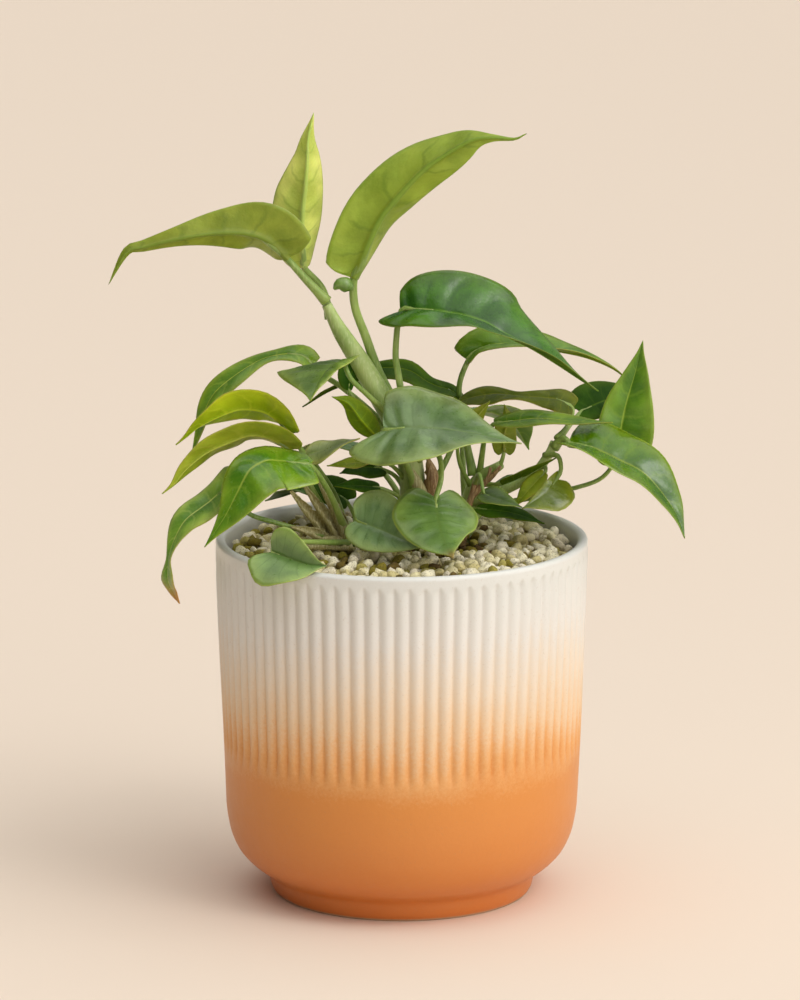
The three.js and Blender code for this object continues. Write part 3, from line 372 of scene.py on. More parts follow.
def pumice_material():
    """Porous grains. A grain's tone is in its vertices: cream, grey, mossy or brown."""
    tree = Tree("pumice_grains")
    tone = tree.attribute("tone").outputs["Fac"]
    place = tree.place()
    colour = tree.ramp(tone, [
        (0.00, srgb(88, 60, 34)),
        (0.07, srgb(120, 106, 24)),
        (0.15, srgb(156, 146, 48)),
        (0.24, srgb(204, 190, 128)),
        (0.45, srgb(238, 228, 186)),
        (0.75, srgb(248, 240, 212)),
        (1.00, srgb(222, 210, 184)),
    ])
    pores = tree.step(tree.cells(place, 1.9), 0.12, 0.34)
    stain = tree.step(tree.noise(place, 0.9, detail=4.0, roughness=0.7), 0.5, 0.72)
    colour = tree.mix(tree.times(stain, 0.25), colour, srgb(160, 150, 100))
    # Painted shade: the pores are dark inside.
    colour = tree.mix(tree.times(tree.rest(pores), 0.7), colour, srgb(74, 60, 40))
    normal = tree.bump(pores, 0.3, 0.8)
    normal = tree.bump(tree.noise(place, 2.5, detail=3.0), 0.2, 0.6, normal)
    tree.set(Base_Color=colour, Roughness=0.92, Normal=normal)
    return tree.material


def soil_material():
    tree = Tree("bark_and_coir")
    place = tree.place()
    lumps = tree.noise(place, 0.5, detail=5.0, roughness=0.7)
    colour = tree.mix(tree.step(lumps, 0.35, 0.7), srgb(40, 28, 18), srgb(96, 68, 42))
    fibres = tree.step(tree.noise(tree.place((0.3, 1.5, 1.5)), 1.2, detail=3.0), 0.6, 0.7)
    colour = tree.mix(tree.times(fibres, 0.5), colour, srgb(134, 96, 58))
    tree.set(Base_Color=colour, Roughness=0.95, Normal=tree.bump(lumps, 1.2, 0.8))
    return tree.material


# Meshes

def add_mesh(name, points, faces, materials, picks=None, replaces=(), grid=None, values=None):
    """An object of the plant or pot from points in millimetres. grid holds (along, across) of each
    point, and values holds a named number or colour of each point."""
    mesh = bpy.data.meshes.new(name)
    mesh.from_pydata((np.asarray(points, float) * MM).tolist(), [], faces)
    for material in materials:
        mesh.materials.append(material)
    if picks is not None:
        mesh.polygons.foreach_set("material_index", np.asarray(picks, np.int32))
    mesh.polygons.foreach_set("use_smooth", np.ones(len(mesh.polygons), bool))
    if grid is not None:
        layer = mesh.uv_layers.new(name="blade")
        corners = np.empty(len(mesh.loops), np.int32)
        mesh.loops.foreach_get("vertex_index", corners)
        layer.data.foreach_set("uv", np.asarray(grid, np.float32)[corners].ravel())
    for key, data in (values or {}).items():
        data = np.asarray(data, np.float32)
        if data.ndim == 1:
            mesh.attributes.new(key, "FLOAT", "POINT").data.foreach_set("value", data)
        else:
            full = np.ones((len(data), 4), np.float32)
            full[:, :3] = data
            mesh.attributes.new(key, "FLOAT_COLOR", "POINT").data.foreach_set("color", full.ravel())
    mesh.update()
    piece = bpy.data.objects.new(name, mesh)
    bpy.context.scene.collection.objects.link(piece)
    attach(piece, "root")
    if replaces:
        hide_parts(*replaces)
    return piece


def through(rows, place):
    """Smooth curve through rows of numbers, read at fractional row numbers."""
    rows = np.asarray(rows, float)
    guide = np.vstack([2 * rows[0] - rows[1], rows, 2 * rows[-1] - rows[-2]])
    place = np.clip(np.asarray(place, float), 0, len(rows) - 1)
    start = np.minimum(place.astype(int), len(rows) - 2)
    t = (place - start)[:, None]
    a, b, c, d = (guide[start + k] for k in range(4))
    return (b + 0.5 * t * (c - a) + t * t * (a - 2.5 * b + 2 * c - 0.5 * d)
            + t ** 3 * (-0.5 * a + 1.5 * b - 1.5 * c + 0.5 * d))


class Curve:
    """Smooth curve through control points, read by its share of length."""

    def __init__(self, control):
        steps = 12
        count = (len(control) - 1) * steps
        self.samples = through(control, np.arange(count + 1) / steps)
        legs = np.linalg.norm(np.diff(self.samples, axis=0), axis=1)
        self.lengths = np.concatenate([[0], np.cumsum(legs)])
        self.total = self.lengths[-1]

    def at(self, share):
        wanted = np.clip(share, 0, 1) * self.total
        return np.stack([np.interp(wanted, self.lengths, self.samples[:, k]) for k in range(3)], -1)

    def direction(self, share):
        reach = 0.02
        share = np.asarray(share, float)
        ahead = self.at(np.minimum(share + reach, 1)) - self.at(np.maximum(share - reach, 0))
        return unit(ahead)


def unit(v):
    return v / np.maximum(np.linalg.norm(v, axis=-1, keepdims=True), 1e-9)


def tube(control, radii, sides, ring_step, wobble=0.0, seed=1):
    """Points, faces and share of length of a round tube, its radius running through the listed values."""
    curve = Curve(control)
    rings = max(4, int(curve.total / ring_step))
    share = np.linspace(0, 1, rings + 1)
    centres = curve.at(share)
    along = curve.direction(share)
    radius = np.interp(share, np.linspace(0, 1, len(radii)), radii)
    rng = np.random.default_rng(seed)
    phase = rng.uniform(0, 2 * np.pi, 3)
    side = np.array([0.0, 1.0, 0.0]) if abs(along[0][1]) < 0.95 else np.array([1.0, 0.0, 0.0])
    turn = 2 * np.pi * np.arange(sides) / sides
    points = []
    for k in range(rings + 1):
        side = unit(side - along[k] * (side @ along[k]))
        other = np.cross(along[k], side)
        r = radius[k] * (1 + wobble * np.sin(turn * 2 + phase[0] + share[k] * 5)
                         + 0.6 * wobble * np.sin(turn * 5 + phase[1] + share[k] * 3))
        points.append(centres[k] + np.outer(r * np.cos(turn), side) + np.outer(r * np.sin(turn), other))
    points = np.concatenate(points)
    faces = []
    for k in range(rings):
        for j in range(sides):
            a, b = k * sides + j, k * sides + (j + 1) % sides
            faces.append((a, b, b + sides, a + sides))
    faces.append(tuple(range(sides - 1, -1, -1)))
    faces.append(tuple(range(rings * sides, (rings + 1) * sides)))
    return points, faces, np.repeat(share, sides)


# Leaves

# Half outlines from notch to tip: reach along the midrib and half width, both as shares.
OUTLINES = {
    "heart": [(0, 0), (-0.14, 0.42), (-0.02, 0.8), (0.22, 1), (0.48, 0.84), (0.73, 0.44), (0.89, 0.14),
              (1, 0)],
    "tailed": [(0, 0), (-0.14, 0.46), (-0.01, 0.88), (0.16, 1), (0.36, 0.66), (0.6, 0.32), (0.82, 0.14),
               (1, 0)],
    "lance": [(0, 0), (0, 0.4), (0.1, 0.76), (0.27, 0.97), (0.48, 0.93), (0.72, 0.55), (0.89, 0.18), (1, 0)],
    "paddle": [(0, 0), (-0.1, 0.5), (0.02, 0.88), (0.2, 1), (0.47, 0.96), (0.7, 0.66), (0.84, 0.18), (1, 0)],
    "waisted": [(0, 0), (-0.06, 0.6), (0.05, 0.95), (0.24, 0.42), (0.47, 0.72), (0.68, 0.72), (0.87, 0.3),
                (1, 0)],
    "pinched": [(0, 0), (-0.03, 0.66), (0.09, 1), (0.25, 0.68), (0.47, 0.3), (0.7, 0.66), (0.87, 0.42),
                (1, 0)],
    "twisted": [(0, 0), (-0.12, 0.5), (0, 0.9), (0.22, 1), (0.46, 0.75), (0.68, 0.2), (0.84, 0.45), (1, 0)],
}
# Where the vein to each point of an outline leaves the midrib.
FEET = (0, 0.06, 0.15, 0.28, 0.47, 0.7, 0.88, 1)
BLADE_THICKNESS = 0.45
LOBE_REACH = 1.25
EDGE_WAVES = 1.6
VEIN_SWEEP = 0.35
GRID_ROW = 1.1
QUILT_HEIGHT = 0.026
VEIN_DEPTH = 0.012
RIPPLES = 2.6


class Leaf:
    """A leaf's sizes. rib runs from notch to tip, up is the way the upper face looks at notch and at
    tip, wide, fold and curl are for the left and the right half, and stalk runs from the shoot to the
    notch."""

    def __init__(self, name, tone, rib, up, stalk, wide, fold, thick, curl=(-8, -8), shape="heart",
                 wave=0.3, lobe_drop=1, lobes=(1, 1), tint=(1, 1, 1), tip=0.0, ripple=0.03):
        self.name, self.tone, self.rib, self.up, self.stalk = name, tone, rib, np.array(up, float), stalk
        self.wide, self.fold, self.thick, self.curl = wide, fold, thick, curl
        self.shapes = (shape, shape) if isinstance(shape, str) else shape
        self.wave, self.lobe_drop, self.lobes, self.ripple = wave, lobe_drop, lobes, ripple
        self.tint, self.tip = tint, tip


def middle_surface(leaf, curve, x, y, side):
    """Points of a leaf's middle surface, x along the midrib and y across it, both as shares."""
    share = np.clip(x, 0, 1)
    along = curve.direction(share)
    up = leaf.up[0] + (leaf.up[1] - leaf.up[0]) * share[..., None]
    up = unit(up - along * np.sum(up * along, -1, keepdims=True))
    across = np.cross(along, up)
    half = 1 if side > 0 else 0
    width = leaf.wide[half]
    fold, curl = math.radians(leaf.fold[half]), math.radians(leaf.curl[half])
    turn = fold + curl * y
    bend = curl / width
    outward = (np.sin(turn) - math.sin(fold)) / bend
    raised = (math.cos(fold) - np.cos(turn)) / bend
    wave = leaf.wave * np.sin(2 * np.pi * EDGE_WAVES * x + side + leaf.wave * 5) * y * y
    lift = raised + wave - leaf.lobe_drop * np.maximum(-x, 0) * y * width / 3
    back = np.minimum(x, 0) * LOBE_REACH * (leaf.wide[0] + leaf.wide[1]) * leaf.lobes[half]
    return (curve.at(share) + along * back[..., None] + up * lift[..., None]
            + across * (side * outward)[..., None])


def grid_normals(points, quads):
    """The normal at each point of a grid, from the triangles around it."""
    normals = np.zeros_like(points)
    for corners in ((0, 1, 2), (0, 2, 3)):
        first, second, third = (points[quads[:, k]] for k in corners)
        facing = np.cross(second - first, third - first)
        for k in corners:
            np.add.at(normals, quads[:, k], facing)
    return unit(normals)


def blade_relief(leaf, q, foot, signed, half, phase):
    """Lift of the upper face, depth of the midrib under the blade, and half the blade's thickness."""
    widest = max(leaf.wide)
    out = np.abs(signed)[None, :]
    body = np.clip(half, 0, 1)
    envelope = np.sin(np.pi * np.clip(out, 0, 1)) ** 0.7
    line = (q[:, None] - VEIN_BOW * out ** 2) * VEINS_A_STATION
    puff = -QUILT_HEIGHT * widest * np.cos(2 * np.pi * line) * envelope * body
    off_vein = np.abs((line + 0.5) % 1 - 0.5)
    groove = -VEIN_DEPTH * widest * np.exp(-(off_vein / 0.09) ** 2) * envelope * body
    start = np.where(signed < 0, phase[0], phase[1])[None, :]
    swell = leaf.ripple * widest * np.sin(2 * np.pi * RIPPLES * foot + start) * out ** 3 * body
    distance = half * widest * out
    ridge = leaf.thick * 0.8 * np.clip(1 - q / STATIONS, 0, 1)[:, None] ** 0.75
    channel = -0.35 * ridge * np.exp(-(distance / 0.7) ** 2)
    lift = (puff + groove + swell + channel).reshape(-1)
    under = (ridge * np.exp(-(distance / np.maximum(ridge, 0.15)) ** 2)).reshape(-1)
    thin = (BLADE_THICKNESS / 2 * (1 - 0.5 * out ** 4) * np.ones_like(body)).reshape(-1)
    return lift, under, thin


def sheet_faces(quads, edge, count):
    """Faces of a closed sheet: upper face 0, then the underside and the edge 1. The underside's
    points come count places after the upper ones."""
    faces, picks = [], []
    for quad in quads.tolist():
        ring = list(dict.fromkeys(quad))
        if len(ring) > 2:
            faces += [tuple(ring), tuple(count + k for k in reversed(ring))]
            picks += [0, 1]
    for a, b in zip(edge, edge[1:] + edge[:1]):
        faces.append((b, a, a + count, b + count))
        picks.append(1)
    return faces, picks


def leaf_blade(leaf, curve, seed):
    """Points, faces, face materials and (along, across) of a blade with two faces."""
    rows = int(np.clip(curve.total / GRID_ROW, 18, 56))
    columns = int(np.clip(6 + max(leaf.wide) / 2, 7, 14))
    q = np.linspace(0, STATIONS, rows + 1)
    t = (np.arange(columns + 1) / columns) ** 1.5
    sweep = t * (1 - VEIN_SWEEP + VEIN_SWEEP * t)
    foot = through(np.array(FEET)[:, None], q)
    foot[0], foot[-1] = 0, 1
    sides = []
    for side, shape in zip((-1, 1), leaf.shapes):
        reach, half = np.hsplit(through(OUTLINES[shape], q), 2)
        half = np.maximum(half, 0)
        half[0] = half[-1] = 0
        sides.append((middle_surface(leaf, curve, foot + (reach - foot) * sweep, half * t, side), half))
    # Grid with the left half's edge first, the midrib in the middle and the right half's edge last.
    (left, left_half), (right, right_half) = sides
    points = np.concatenate([left[:, :0:-1], right], axis=1).reshape(-1, 3)
    signed = np.concatenate([-t[:0:-1], t])
    half = np.where(signed < 0, left_half, right_half)
    wide = 2 * columns + 1
    index = np.arange((rows + 1) * wide).reshape(rows + 1, wide)
    index[0, :] = index[0, columns]
    index[-1, :] = index[-1, columns]
    quads = np.stack([index[:-1, :-1], index[:-1, 1:], index[1:, 1:], index[1:, :-1]], -1).reshape(-1, 4)
    edge = ([int(index[0, columns])] + index[1:-1, -1].tolist() + [int(index[-1, columns])]
            + index[-2:0:-1, 0].tolist())
    faces, picks = sheet_faces(quads, edge, len(points))
    phase = np.random.default_rng(seed).uniform(0, 2 * np.pi, 2)
    lift, under, thin = blade_relief(leaf, q, foot, signed, half, phase)
    normals = grid_normals(points, quads)
    upper = points + normals * (lift + thin)[:, None]
    lower = points + normals * (lift - thin - under)[:, None]
    grid = np.stack([np.repeat(q / STATIONS, wide), np.tile(0.5 + 0.5 * signed, rows + 1)], -1)
    # Points that no face uses are left out.
    keep = np.zeros(2 * len(points), bool)
    for face in faces:
        keep[list(face)] = True
    number = np.cumsum(keep) - 1
    faces = [tuple(int(number[k]) for k in face) for face in faces]
    return np.concatenate([upper, lower])[keep], faces, picks, np.tile(grid, (2, 1))[keep]


def leaf_stalk(leaf, curve, seed):
    """A stalk that runs on under the blade and thins into the midrib."""
    thick = leaf.thick
    up = unit(leaf.up[0] - curve.direction(0.0) * (leaf.up[0] @ curve.direction(0.0)))
    join = [curve.at(s) - up * thick * drop for s, drop in ((0.0, 0.35), (0.07, 0.45), (0.16, 0.3))]
    radii = [share * thick for share in (1.5, 1.12, 1.0, 0.9, 0.85, 0.8, 0.5)]
    return tube([*map(np.array, leaf.stalk), *join], radii, 12, 1.6, 0.04, seed)


def build_leaf(leaf, seed):
    curve = Curve(leaf.rib)
    points, faces, picks, grid = leaf_blade(leaf, curve, seed)
    stalk_points, stalk_faces, stalk_share = leaf_stalk(leaf, curve, seed)
    faces += [tuple(len(points) + k for k in face) for face in stalk_faces]
    picks += [2] * len(stalk_faces)
    points = np.concatenate([points, stalk_points])
    grid = np.concatenate([grid, np.stack([stalk_share, np.full(len(stalk_share), 0.5)], -1)])
    add_mesh(leaf.name, points, faces, [*leaf_materials[leaf.tone], stalk_material], picks,
             replaces=(leaf.name,), grid=grid,
             values={"tint": np.tile(leaf.tint, (len(points), 1)), "tip": np.full(len(points), leaf.tip)})


# A leaf's tint is partly its own tone and partly painted light and shade for how brightly it is lit.
LEAVES = [
    Leaf("leaf_tall_left", "pale",
         rib=[(-36.4, 4, 207.2), (-42.7, 2, 213.3), (-49.7, 0, 215.9), (-59.9, -2, 216.3),
              (-71.7, -4, 214.7), (-82.1, -4, 212.1), (-87.5, -5, 210.6), (-93.4, -5, 200.2)],
         up=[(0.64, 0.7, 0.32), (-0.27, 0.93, 0.26)],
         stalk=[(-24, 4, 193), (-31, 4, 200.5)],
         wide=(11.5, 9.9), fold=(35, 22), thick=1.3, shape="tailed", curl=(-4, -18), lobe_drop=1.2,
         lobes=(0.3, 0.2), tint=(0.8, 0.75, 0.45)),
    Leaf("leaf_tall_upright", "pale",
         rib=[(-31.4, 10, 202.9), (-31.8, 9.5, 210.4), (-31.8, 9, 220.2), (-30.7, 9, 229.9),
              (-30.1, 10, 238.5), (-29.8, 12, 244.7), (-28.1, 14, 252.5)],
         up=[(-0.36, 0.93, 0.07), (0.14, 0.99, 0.02)],
         stalk=[(-23, 7, 187), (-25.5, 10.5, 196)],
         wide=(8.8, 11.3), fold=(39, 42), thick=1.2, curl=(-6, -7), shape="lance", lobe_drop=0.5,
         lobes=(0.9, 0.9), tint=(2.05, 1.7, 2.7)),
    Leaf("leaf_tall_right", "pale",
         rib=[(-15.6, 6, 200.3), (-13.9, 6, 203.6), (-7.8, 5, 218), (-0.9, 4, 227.2), (7, 3, 235.6),
              (14.4, 2, 241), (22.2, 1, 245.5), (28.7, 0, 246.6), (35.8, -1, 246.4), (39.6, -2, 248.3)],
         up=[(-0.6, 0.76, 0.25), (0.5, 0.74, -0.44)],
         stalk=[(-4, 2, 162), (-8, 5, 171), (-11.5, 6, 181), (-15, 6, 191)],
         wide=(8.8, 12), fold=(37, 38), thick=1.5, curl=(-7, -8), shape="paddle", lobe_drop=0.7,
         lobes=(0.6, 0.4), tint=(0.95, 0.95, 0.65)),
    Leaf("leaf_glossy_high", "deep",
         rib=[(-0.5, -2, 191), (7.5, -5, 192.2), (23.5, -9, 189.9), (32.3, -11, 185.6), (44.2, -13, 179.7),
              (62.6, -14, 167.4)],
         up=[(-0.54, -0.63, 0.56), (0.47, 0.19, 0.86)],
         stalk=[(1, -1, 150), (0.5, -4, 160), (-1, -4, 170), (-2, -3, 178)],
         wide=(16.5, 9.8), fold=(15, 31), thick=1.1, curl=(-12, -14), shape=("lance", "heart"),
         lobe_drop=2.9, lobes=(0.5, 1.4), tint=(1, 1.1, 0.3)),
    Leaf("leaf_behind_high", "green",
         rib=[(21.2, 14, 171.9), (24.5, 14.4, 175.3), (30.6, 13.7, 177.2), (39.7, 14.1, 177.2),
              (49.5, 13.4, 175.5), (59.4, 13.8, 173.2), (67.9, 13.1, 169.6), (73.1, 12.5, 165.6)],
         up=[(-0.43, -0.49, 0.76), (0.22, 0.25, 0.94)],
         stalk=[(23, 14, 134), (20, 15, 150), (18.5, 13, 163)],
         wide=(8.1, 4.6), fold=(20, 26), thick=1.1, curl=(-6, -17), lobe_drop=1.4,
         lobes=(0.1, 0.6), tint=(1.1, 0.95, 0.3)),
    Leaf("leaf_dark_arch", "shaded",
         rib=[(20.1, 17.5, 157.4), (16.4, 17.2, 161.1), (9.5, 17, 163.5), (2.2, 16.8, 168),
              (-5.7, 15.5, 169.1), (-12, 14.2, 167.6), (-16.9, 13, 164.2)],
         up=[(0.55, -0.27, 0.79), (0.6, -0.54, 0.59)],
         stalk=[(5, 6, 124), (14, 14, 138), (19, 17, 150)],
         wide=(10.2, 5.1), fold=(13, 5), thick=1, shape="lance", curl=(4, -14), lobes=(0.9, 0.9),
         tint=(1.2, 1, 0.3)),
    Leaf("leaf_right_olive", "olive",
         rib=[(55.3, 12, 156.5), (50.9, 12, 159.3), (44.3, 12, 160.1), (37.7, 11, 160.8), (29.5, 11, 161.4),
              (22.1, 10, 160.3), (16.9, 9, 158.4)],
         up=[(0.27, -0.44, 0.86), (0.43, -0.37, 0.82)],
         stalk=[(50, 0, 149), (53.5, 6, 152)],
         wide=(8.3, 6), fold=(4, 7), thick=0.9, curl=(-5, -8), shape="pinched", lobe_drop=1.3,
         lobes=(0.9, 0.5), tint=(0.45, 0.45, 0.05)),
    Leaf("leaf_right_upright", "green",
         rib=[(68.8, 8, 139.7), (70.1, 9, 147.6), (72.1, 10, 157.8), (75.3, 11, 168.9), (77.6, 11, 179.1)],
         up=[(-0.01, -1, 0.04), (-0.25, -0.9, 0.36)],
         stalk=[(21, 16, 122), (40, 10, 127), (55, 5, 131.5), (64, 6, 134.5)],
         wide=(8.2, 11), fold=(29, 10), thick=0.9, curl=(-8, -10), lobe_drop=0.9,
         lobes=(0.5, 1), tint=(1.25, 1.1, 0.8)),
    Leaf("leaf_glossy_right", "bright",
         rib=[(53.6, -3, 148.2), (60.4, -6, 147.6), (68.5, -8, 144.2), (77.6, -10, 139.6),
              (84.9, -12, 131.4), (88.3, -14, 125.5), (90.4, -16, 119.8)],
         up=[(0.21, -0.34, 0.92), (0.66, -0.72, 0.22)],
         stalk=[(49, 1, 146), (52, -1, 149.5)],
         wide=(12.8, 12.4), fold=(19, 21), thick=1.2, curl=(-20, 6), lobe_drop=0.8,
         lobes=(0.2, 0.4), tint=(0.9, 0.7, 0.1)),
    Leaf("leaf_narrow_right", "green",
         rib=[(29.6, 4, 153.2), (35.7, 3, 154.2), (44.4, 2, 155.2), (55.4, 0, 154.6), (67.6, -3, 154.9)],
         up=[(0.09, -0.51, 0.85), (0.07, -0.24, 0.97)],
         stalk=[(25, 14, 133), (26, 10, 142), (27, 6, 149)],
         wide=(4.3, 4.4), fold=(10, 13), thick=0.9, shape="lance", curl=(-3, -15), lobe_drop=1.1,
         lobes=(1, 1.5), tint=(1.45, 1.1, 0.7)),
    Leaf("leaf_centre_heart", "grey",
         rib=[(-5.8, -16, 155.2), (3.5, -19, 156.7), (14, -20, 156.2), (23.4, -21, 155), (31.2, -21, 153.1),
              (38.1, -20, 151.6)],
         up=[(-0.14, -0.7, 0.7), (0.02, -0.15, 0.99)],
         stalk=[(4, 0, 128), (3, -4, 137), (0, -10, 146), (-5, -13, 153)],
         wide=(16.3, 18.6), fold=(10, 16), thick=1.2, curl=(-10, -11), lobe_drop=1.3,
         lobes=(0.1, 1.7), tint=(1.55, 1.3, 1.6)),
    Leaf("leaf_small_back_right", "olive",
         rib=[(33, 9, 143), (33, 9, 148), (34, 10, 153), (33, 12, 158)],
         up=[(0, 0.95, 0.2), (0, 0.95, 0.2)],
         stalk=[(31.5, 9.5, 137.5), (32.5, 9, 140.5)],
         wide=(4.2, 4), fold=(10, 10), thick=0.7),
    Leaf("leaf_left_upright_dark", "shaded",
         rib=[(-16.9, 0, 164.8), (-16.6, 1, 167.8), (-15.3, 3, 172.2), (-12.9, 6, 176.5)],
         up=[(0.51, -0.73, 0.46), (0.16, -0.98, 0.08)],
         stalk=[(0, -1, 147), (-6, -3, 152), (-13, -2.5, 158.5)],
         wide=(4.8, 1.9), fold=(10, 5), thick=1, shape="lance", curl=(-12, -12), lobe_drop=0.3,
         lobes=(0.9, 0.8), tint=(0.8, 0.9, 0.2)),
    Leaf("leaf_left_grey_tip", "grey",
         rib=[(-18, -7, 176), (-22, -13, 175.5), (-26, -20, 172), (-29, -26, 166.5)],
         up=[(-0.35, -0.1, 0.9), (-0.3, -0.3, 0.8)],
         stalk=[(-5, -2, 158), (-11, -8, 165), (-16, -11, 170.5), (-18, -9.5, 174.5)],
         wide=(5, 22), fold=(10, 5), thick=0.9, curl=(-25, -10), tint=(1.5, 1.3, 0.5)),
    Leaf("leaf_left_thin_dark", "shaded",
         rib=[(-15, 15, 165.5), (-24, 13, 162), (-32, 9, 157.5)],
         up=[(0.2, 0.4, 0.85), (0, 0.4, 0.85)],
         stalk=[(3, 6, 141), (-4, 12, 152), (-11, 15, 161)],
         wide=(2.4, 2.4), fold=(15, 15), thick=0.7, shape="lance"),
    Leaf("leaf_young_yellow", "olive",
         rib=[(-8.2, -5, 151.2), (-12.7, -6, 156.3), (-17, -7, 162.1), (-22.4, -8, 164.4)],
         up=[(0.12, 0.97, 0.2), (0.42, 0.87, 0.27)],
         stalk=[(1, -1, 143), (-3, -4, 147)],
         wide=(4.3, 4.4), fold=(29, 9), thick=0.9, shape="lance", curl=(-8, -8), lobe_drop=0.9,
         lobes=(0.9, 1.2), tint=(0.7, 0.95, 0.05)),
    Leaf("leaf_arching_left", "green",
         rib=[(-28.6, 10.5, 170.8), (-31.9, 10.5, 174), (-37.7, 10.5, 174.6), (-45, 10.5, 172.9),
              (-52.6, 9.5, 168.5), (-59.6, 8.5, 162.9), (-63.2, 7.5, 156.9), (-65.3, 7.5, 149.4),
              (-67.8, 6.5, 141.6)],
         up=[(0.41, -0.53, 0.74), (-0.73, -0.67, 0.12)],
         stalk=[(1, 1, 145), (-8, 5, 155), (-19, 8, 164), (-26, 8, 168.5)],
         wide=(6.9, 4.8), fold=(22, 11), thick=1, curl=(-2, -10), shape="waisted", lobe_drop=1.1,
         lobes=(0.3, 0.1), tint=(1.9, 1.35, 1.3)),
    Leaf("leaf_olive_left", "olive",
         rib=[(-35.6, -4, 151.5), (-39.2, -4, 156), (-44.5, -4, 159.1), (-52.1, -4, 159.6),
              (-59.4, -4, 156.9), (-65, -4, 154), (-68.7, -4, 150.9), (-72.4, -4, 147.8)],
         up=[(0.78, 0.62, 0.1), (-0.61, 0.71, 0.35)],
         stalk=[(-18.5, 1, 118), (-24, 1, 131), (-31, -2, 144)],
         wide=(9.7, 8.7), fold=(-10, 41), thick=1, curl=(-15, -15), lobe_drop=1.1,
         lobes=(0, 0.5), tint=(1.9, 2, 0.7)),
    Leaf("leaf_yellow_left", "olive",
         rib=[(-35.7, -6, 146.8), (-41.4, -8, 151), (-48.3, -10, 152.6), (-55.8, -12, 150.3),
              (-62.5, -14, 147.5), (-68.6, -16, 142.8), (-72.9, -17, 137.7), (-76.4, -18, 134.8)],
         up=[(0.3, 0.52, 0.8), (-0.28, 0.81, 0.52)],
         stalk=[(-19, -1, 117), (-27, -3, 130), (-33, -5, 142)],
         wide=(8.1, 10.3), fold=(12, 18), thick=1, curl=(-10, -4), lobe_drop=1.3,
         lobes=(0.4, 0.9), tint=(1.2, 1.25, 0.9)),
    Leaf("leaf_glossy_left", "bright",
         rib=[(-29.2, -18, 144.4), (-35.8, -20, 145.7), (-42.3, -22, 146.6), (-47.3, -25, 145),
              (-50.5, -27, 140.7), (-53.5, -29, 134.7), (-57.3, -31, 128.1), (-62.5, -33, 120.8)],
         up=[(0.31, -0.24, 0.92), (-0.73, -0.67, 0.13)],
         stalk=[(-18, -3, 119), (-22, -10, 131), (-26, -15, 139.5)],
         wide=(15.8, 9.6), fold=(7, -2), thick=1.1, curl=(-13, -11), lobe_drop=1.1,
         lobes=(0, 0.5), tint=(1.45, 1.05, 1.7)),
    Leaf("leaf_twisted_left", "green",
         rib=[(-53.4, -12, 138.9), (-57.2, -13, 134.9), (-62.8, -14, 130.2), (-68.4, -15, 126.2),
              (-71.6, -16, 121.6), (-73.8, -17, 116.3), (-74.6, -17, 111.5), (-74.6, -18, 106.6),
              (-72.8, -18, 102.5), (-71, -19, 99.1)],
         up=[(-0.29, -0.21, 0.93), (-0.93, -0.33, 0.18)],
         stalk=[(-19, -2, 115), (-26, -6, 118.5), (-40, -10, 123.5), (-50, -12, 128)],
         wide=(9.3, 7.4), fold=(2, 20), thick=0.9, curl=(-13, -11), shape="twisted", lobe_drop=0.4,
         lobes=(1.5, 0.8), tip=0.85, tint=(2.85, 1.95, 4)),
    Leaf("leaf_grey_left", "grey",
         rib=[(-30.8, -3, 144.3), (-24.9, -5, 146.4), (-19, -7, 148.9), (-13.3, -9, 151)],
         up=[(-0.42, -0.62, 0.66), (-0.16, 0.25, 0.95)],
         stalk=[(-17.5, 1.5, 118), (-21.5, 3, 130), (-28, 0, 141)],
         wide=(4.8, 5.3), fold=(11, -4), thick=0.8, shape="lance", curl=(-15, -8), lobe_drop=0.5,
         lobes=(1.1, 1.1), tint=(2.55, 1.65, 1.9)),
    Leaf("leaf_tip_inner_left", "olive",
         rib=[(-10, -6, 143), (-17, -8, 142.5), (-24, -9, 142)],
         up=[(0, -0.5, 0.85), (0, -0.5, 0.85)],
         stalk=[(1, 0, 136), (-4, -4, 141.5)],
         wide=(2.6, 2.6), fold=(8, 8), thick=0.7, shape="lance"),
    Leaf("leaf_inner_dark", "shaded",
         rib=[(-7, 2, 139), (-13, 0, 139.5), (-20, -2, 138)],
         up=[(0, -0.6, 0.8), (0, -0.6, 0.8)],
         stalk=[(2, 2, 130), (-2, 3, 136)],
         wide=(5.2, 5), fold=(8, 8), thick=0.8),
    Leaf("leaf_inner_low", "shaded",
         rib=[(-7, -9, 135), (-15, -11, 136), (-22, -12, 136)],
         up=[(0, -0.4, 0.9), (0, -0.4, 0.9)],
         stalk=[(3, 0, 124), (-1, -5, 131)],
         wide=(3.6, 3.6), fold=(8, 8), thick=0.8, shape="lance"),
    Leaf("leaf_inner_back_left", "shaded",
         rib=[(-18, 9, 127), (-25, 12, 131), (-31, 15, 132)],
         up=[(0.2, -0.7, 0.6), (0.2, -0.7, 0.6)],
         stalk=[(-17, 1, 115), (-15, 6, 121)],
         wide=(6, 6), fold=(8, 8), thick=0.8),
    Leaf("leaf_over_rim", "grey",
         rib=[(-40.9, -44, 121.9), (-36.3, -47, 120.8), (-30, -50, 119.3), (-23.5, -52, 119.1)],
         up=[(-0.22, -0.4, 0.89), (-0.18, -0.5, 0.85)],
         stalk=[(-16, -3, 115.5), (-21, -13, 117.8), (-31, -26, 121), (-39, -33, 123)],
         wide=(9.3, 13.9), fold=(62, 8), thick=0.9, curl=(-2, -20), lobe_drop=1.3,
         lobes=(0.3, 1.1), tint=(1.45, 1.3, 1.1)),
    Leaf("leaf_front_heart_left", "grey",
         rib=[(-14.6, -16.5, 125.8), (-7.7, -21.5, 124.3), (0.6, -27.5, 122), (8.4, -31.5, 120.3)],
         up=[(-0.2, -0.78, 0.59), (0.01, -0.94, 0.34)],
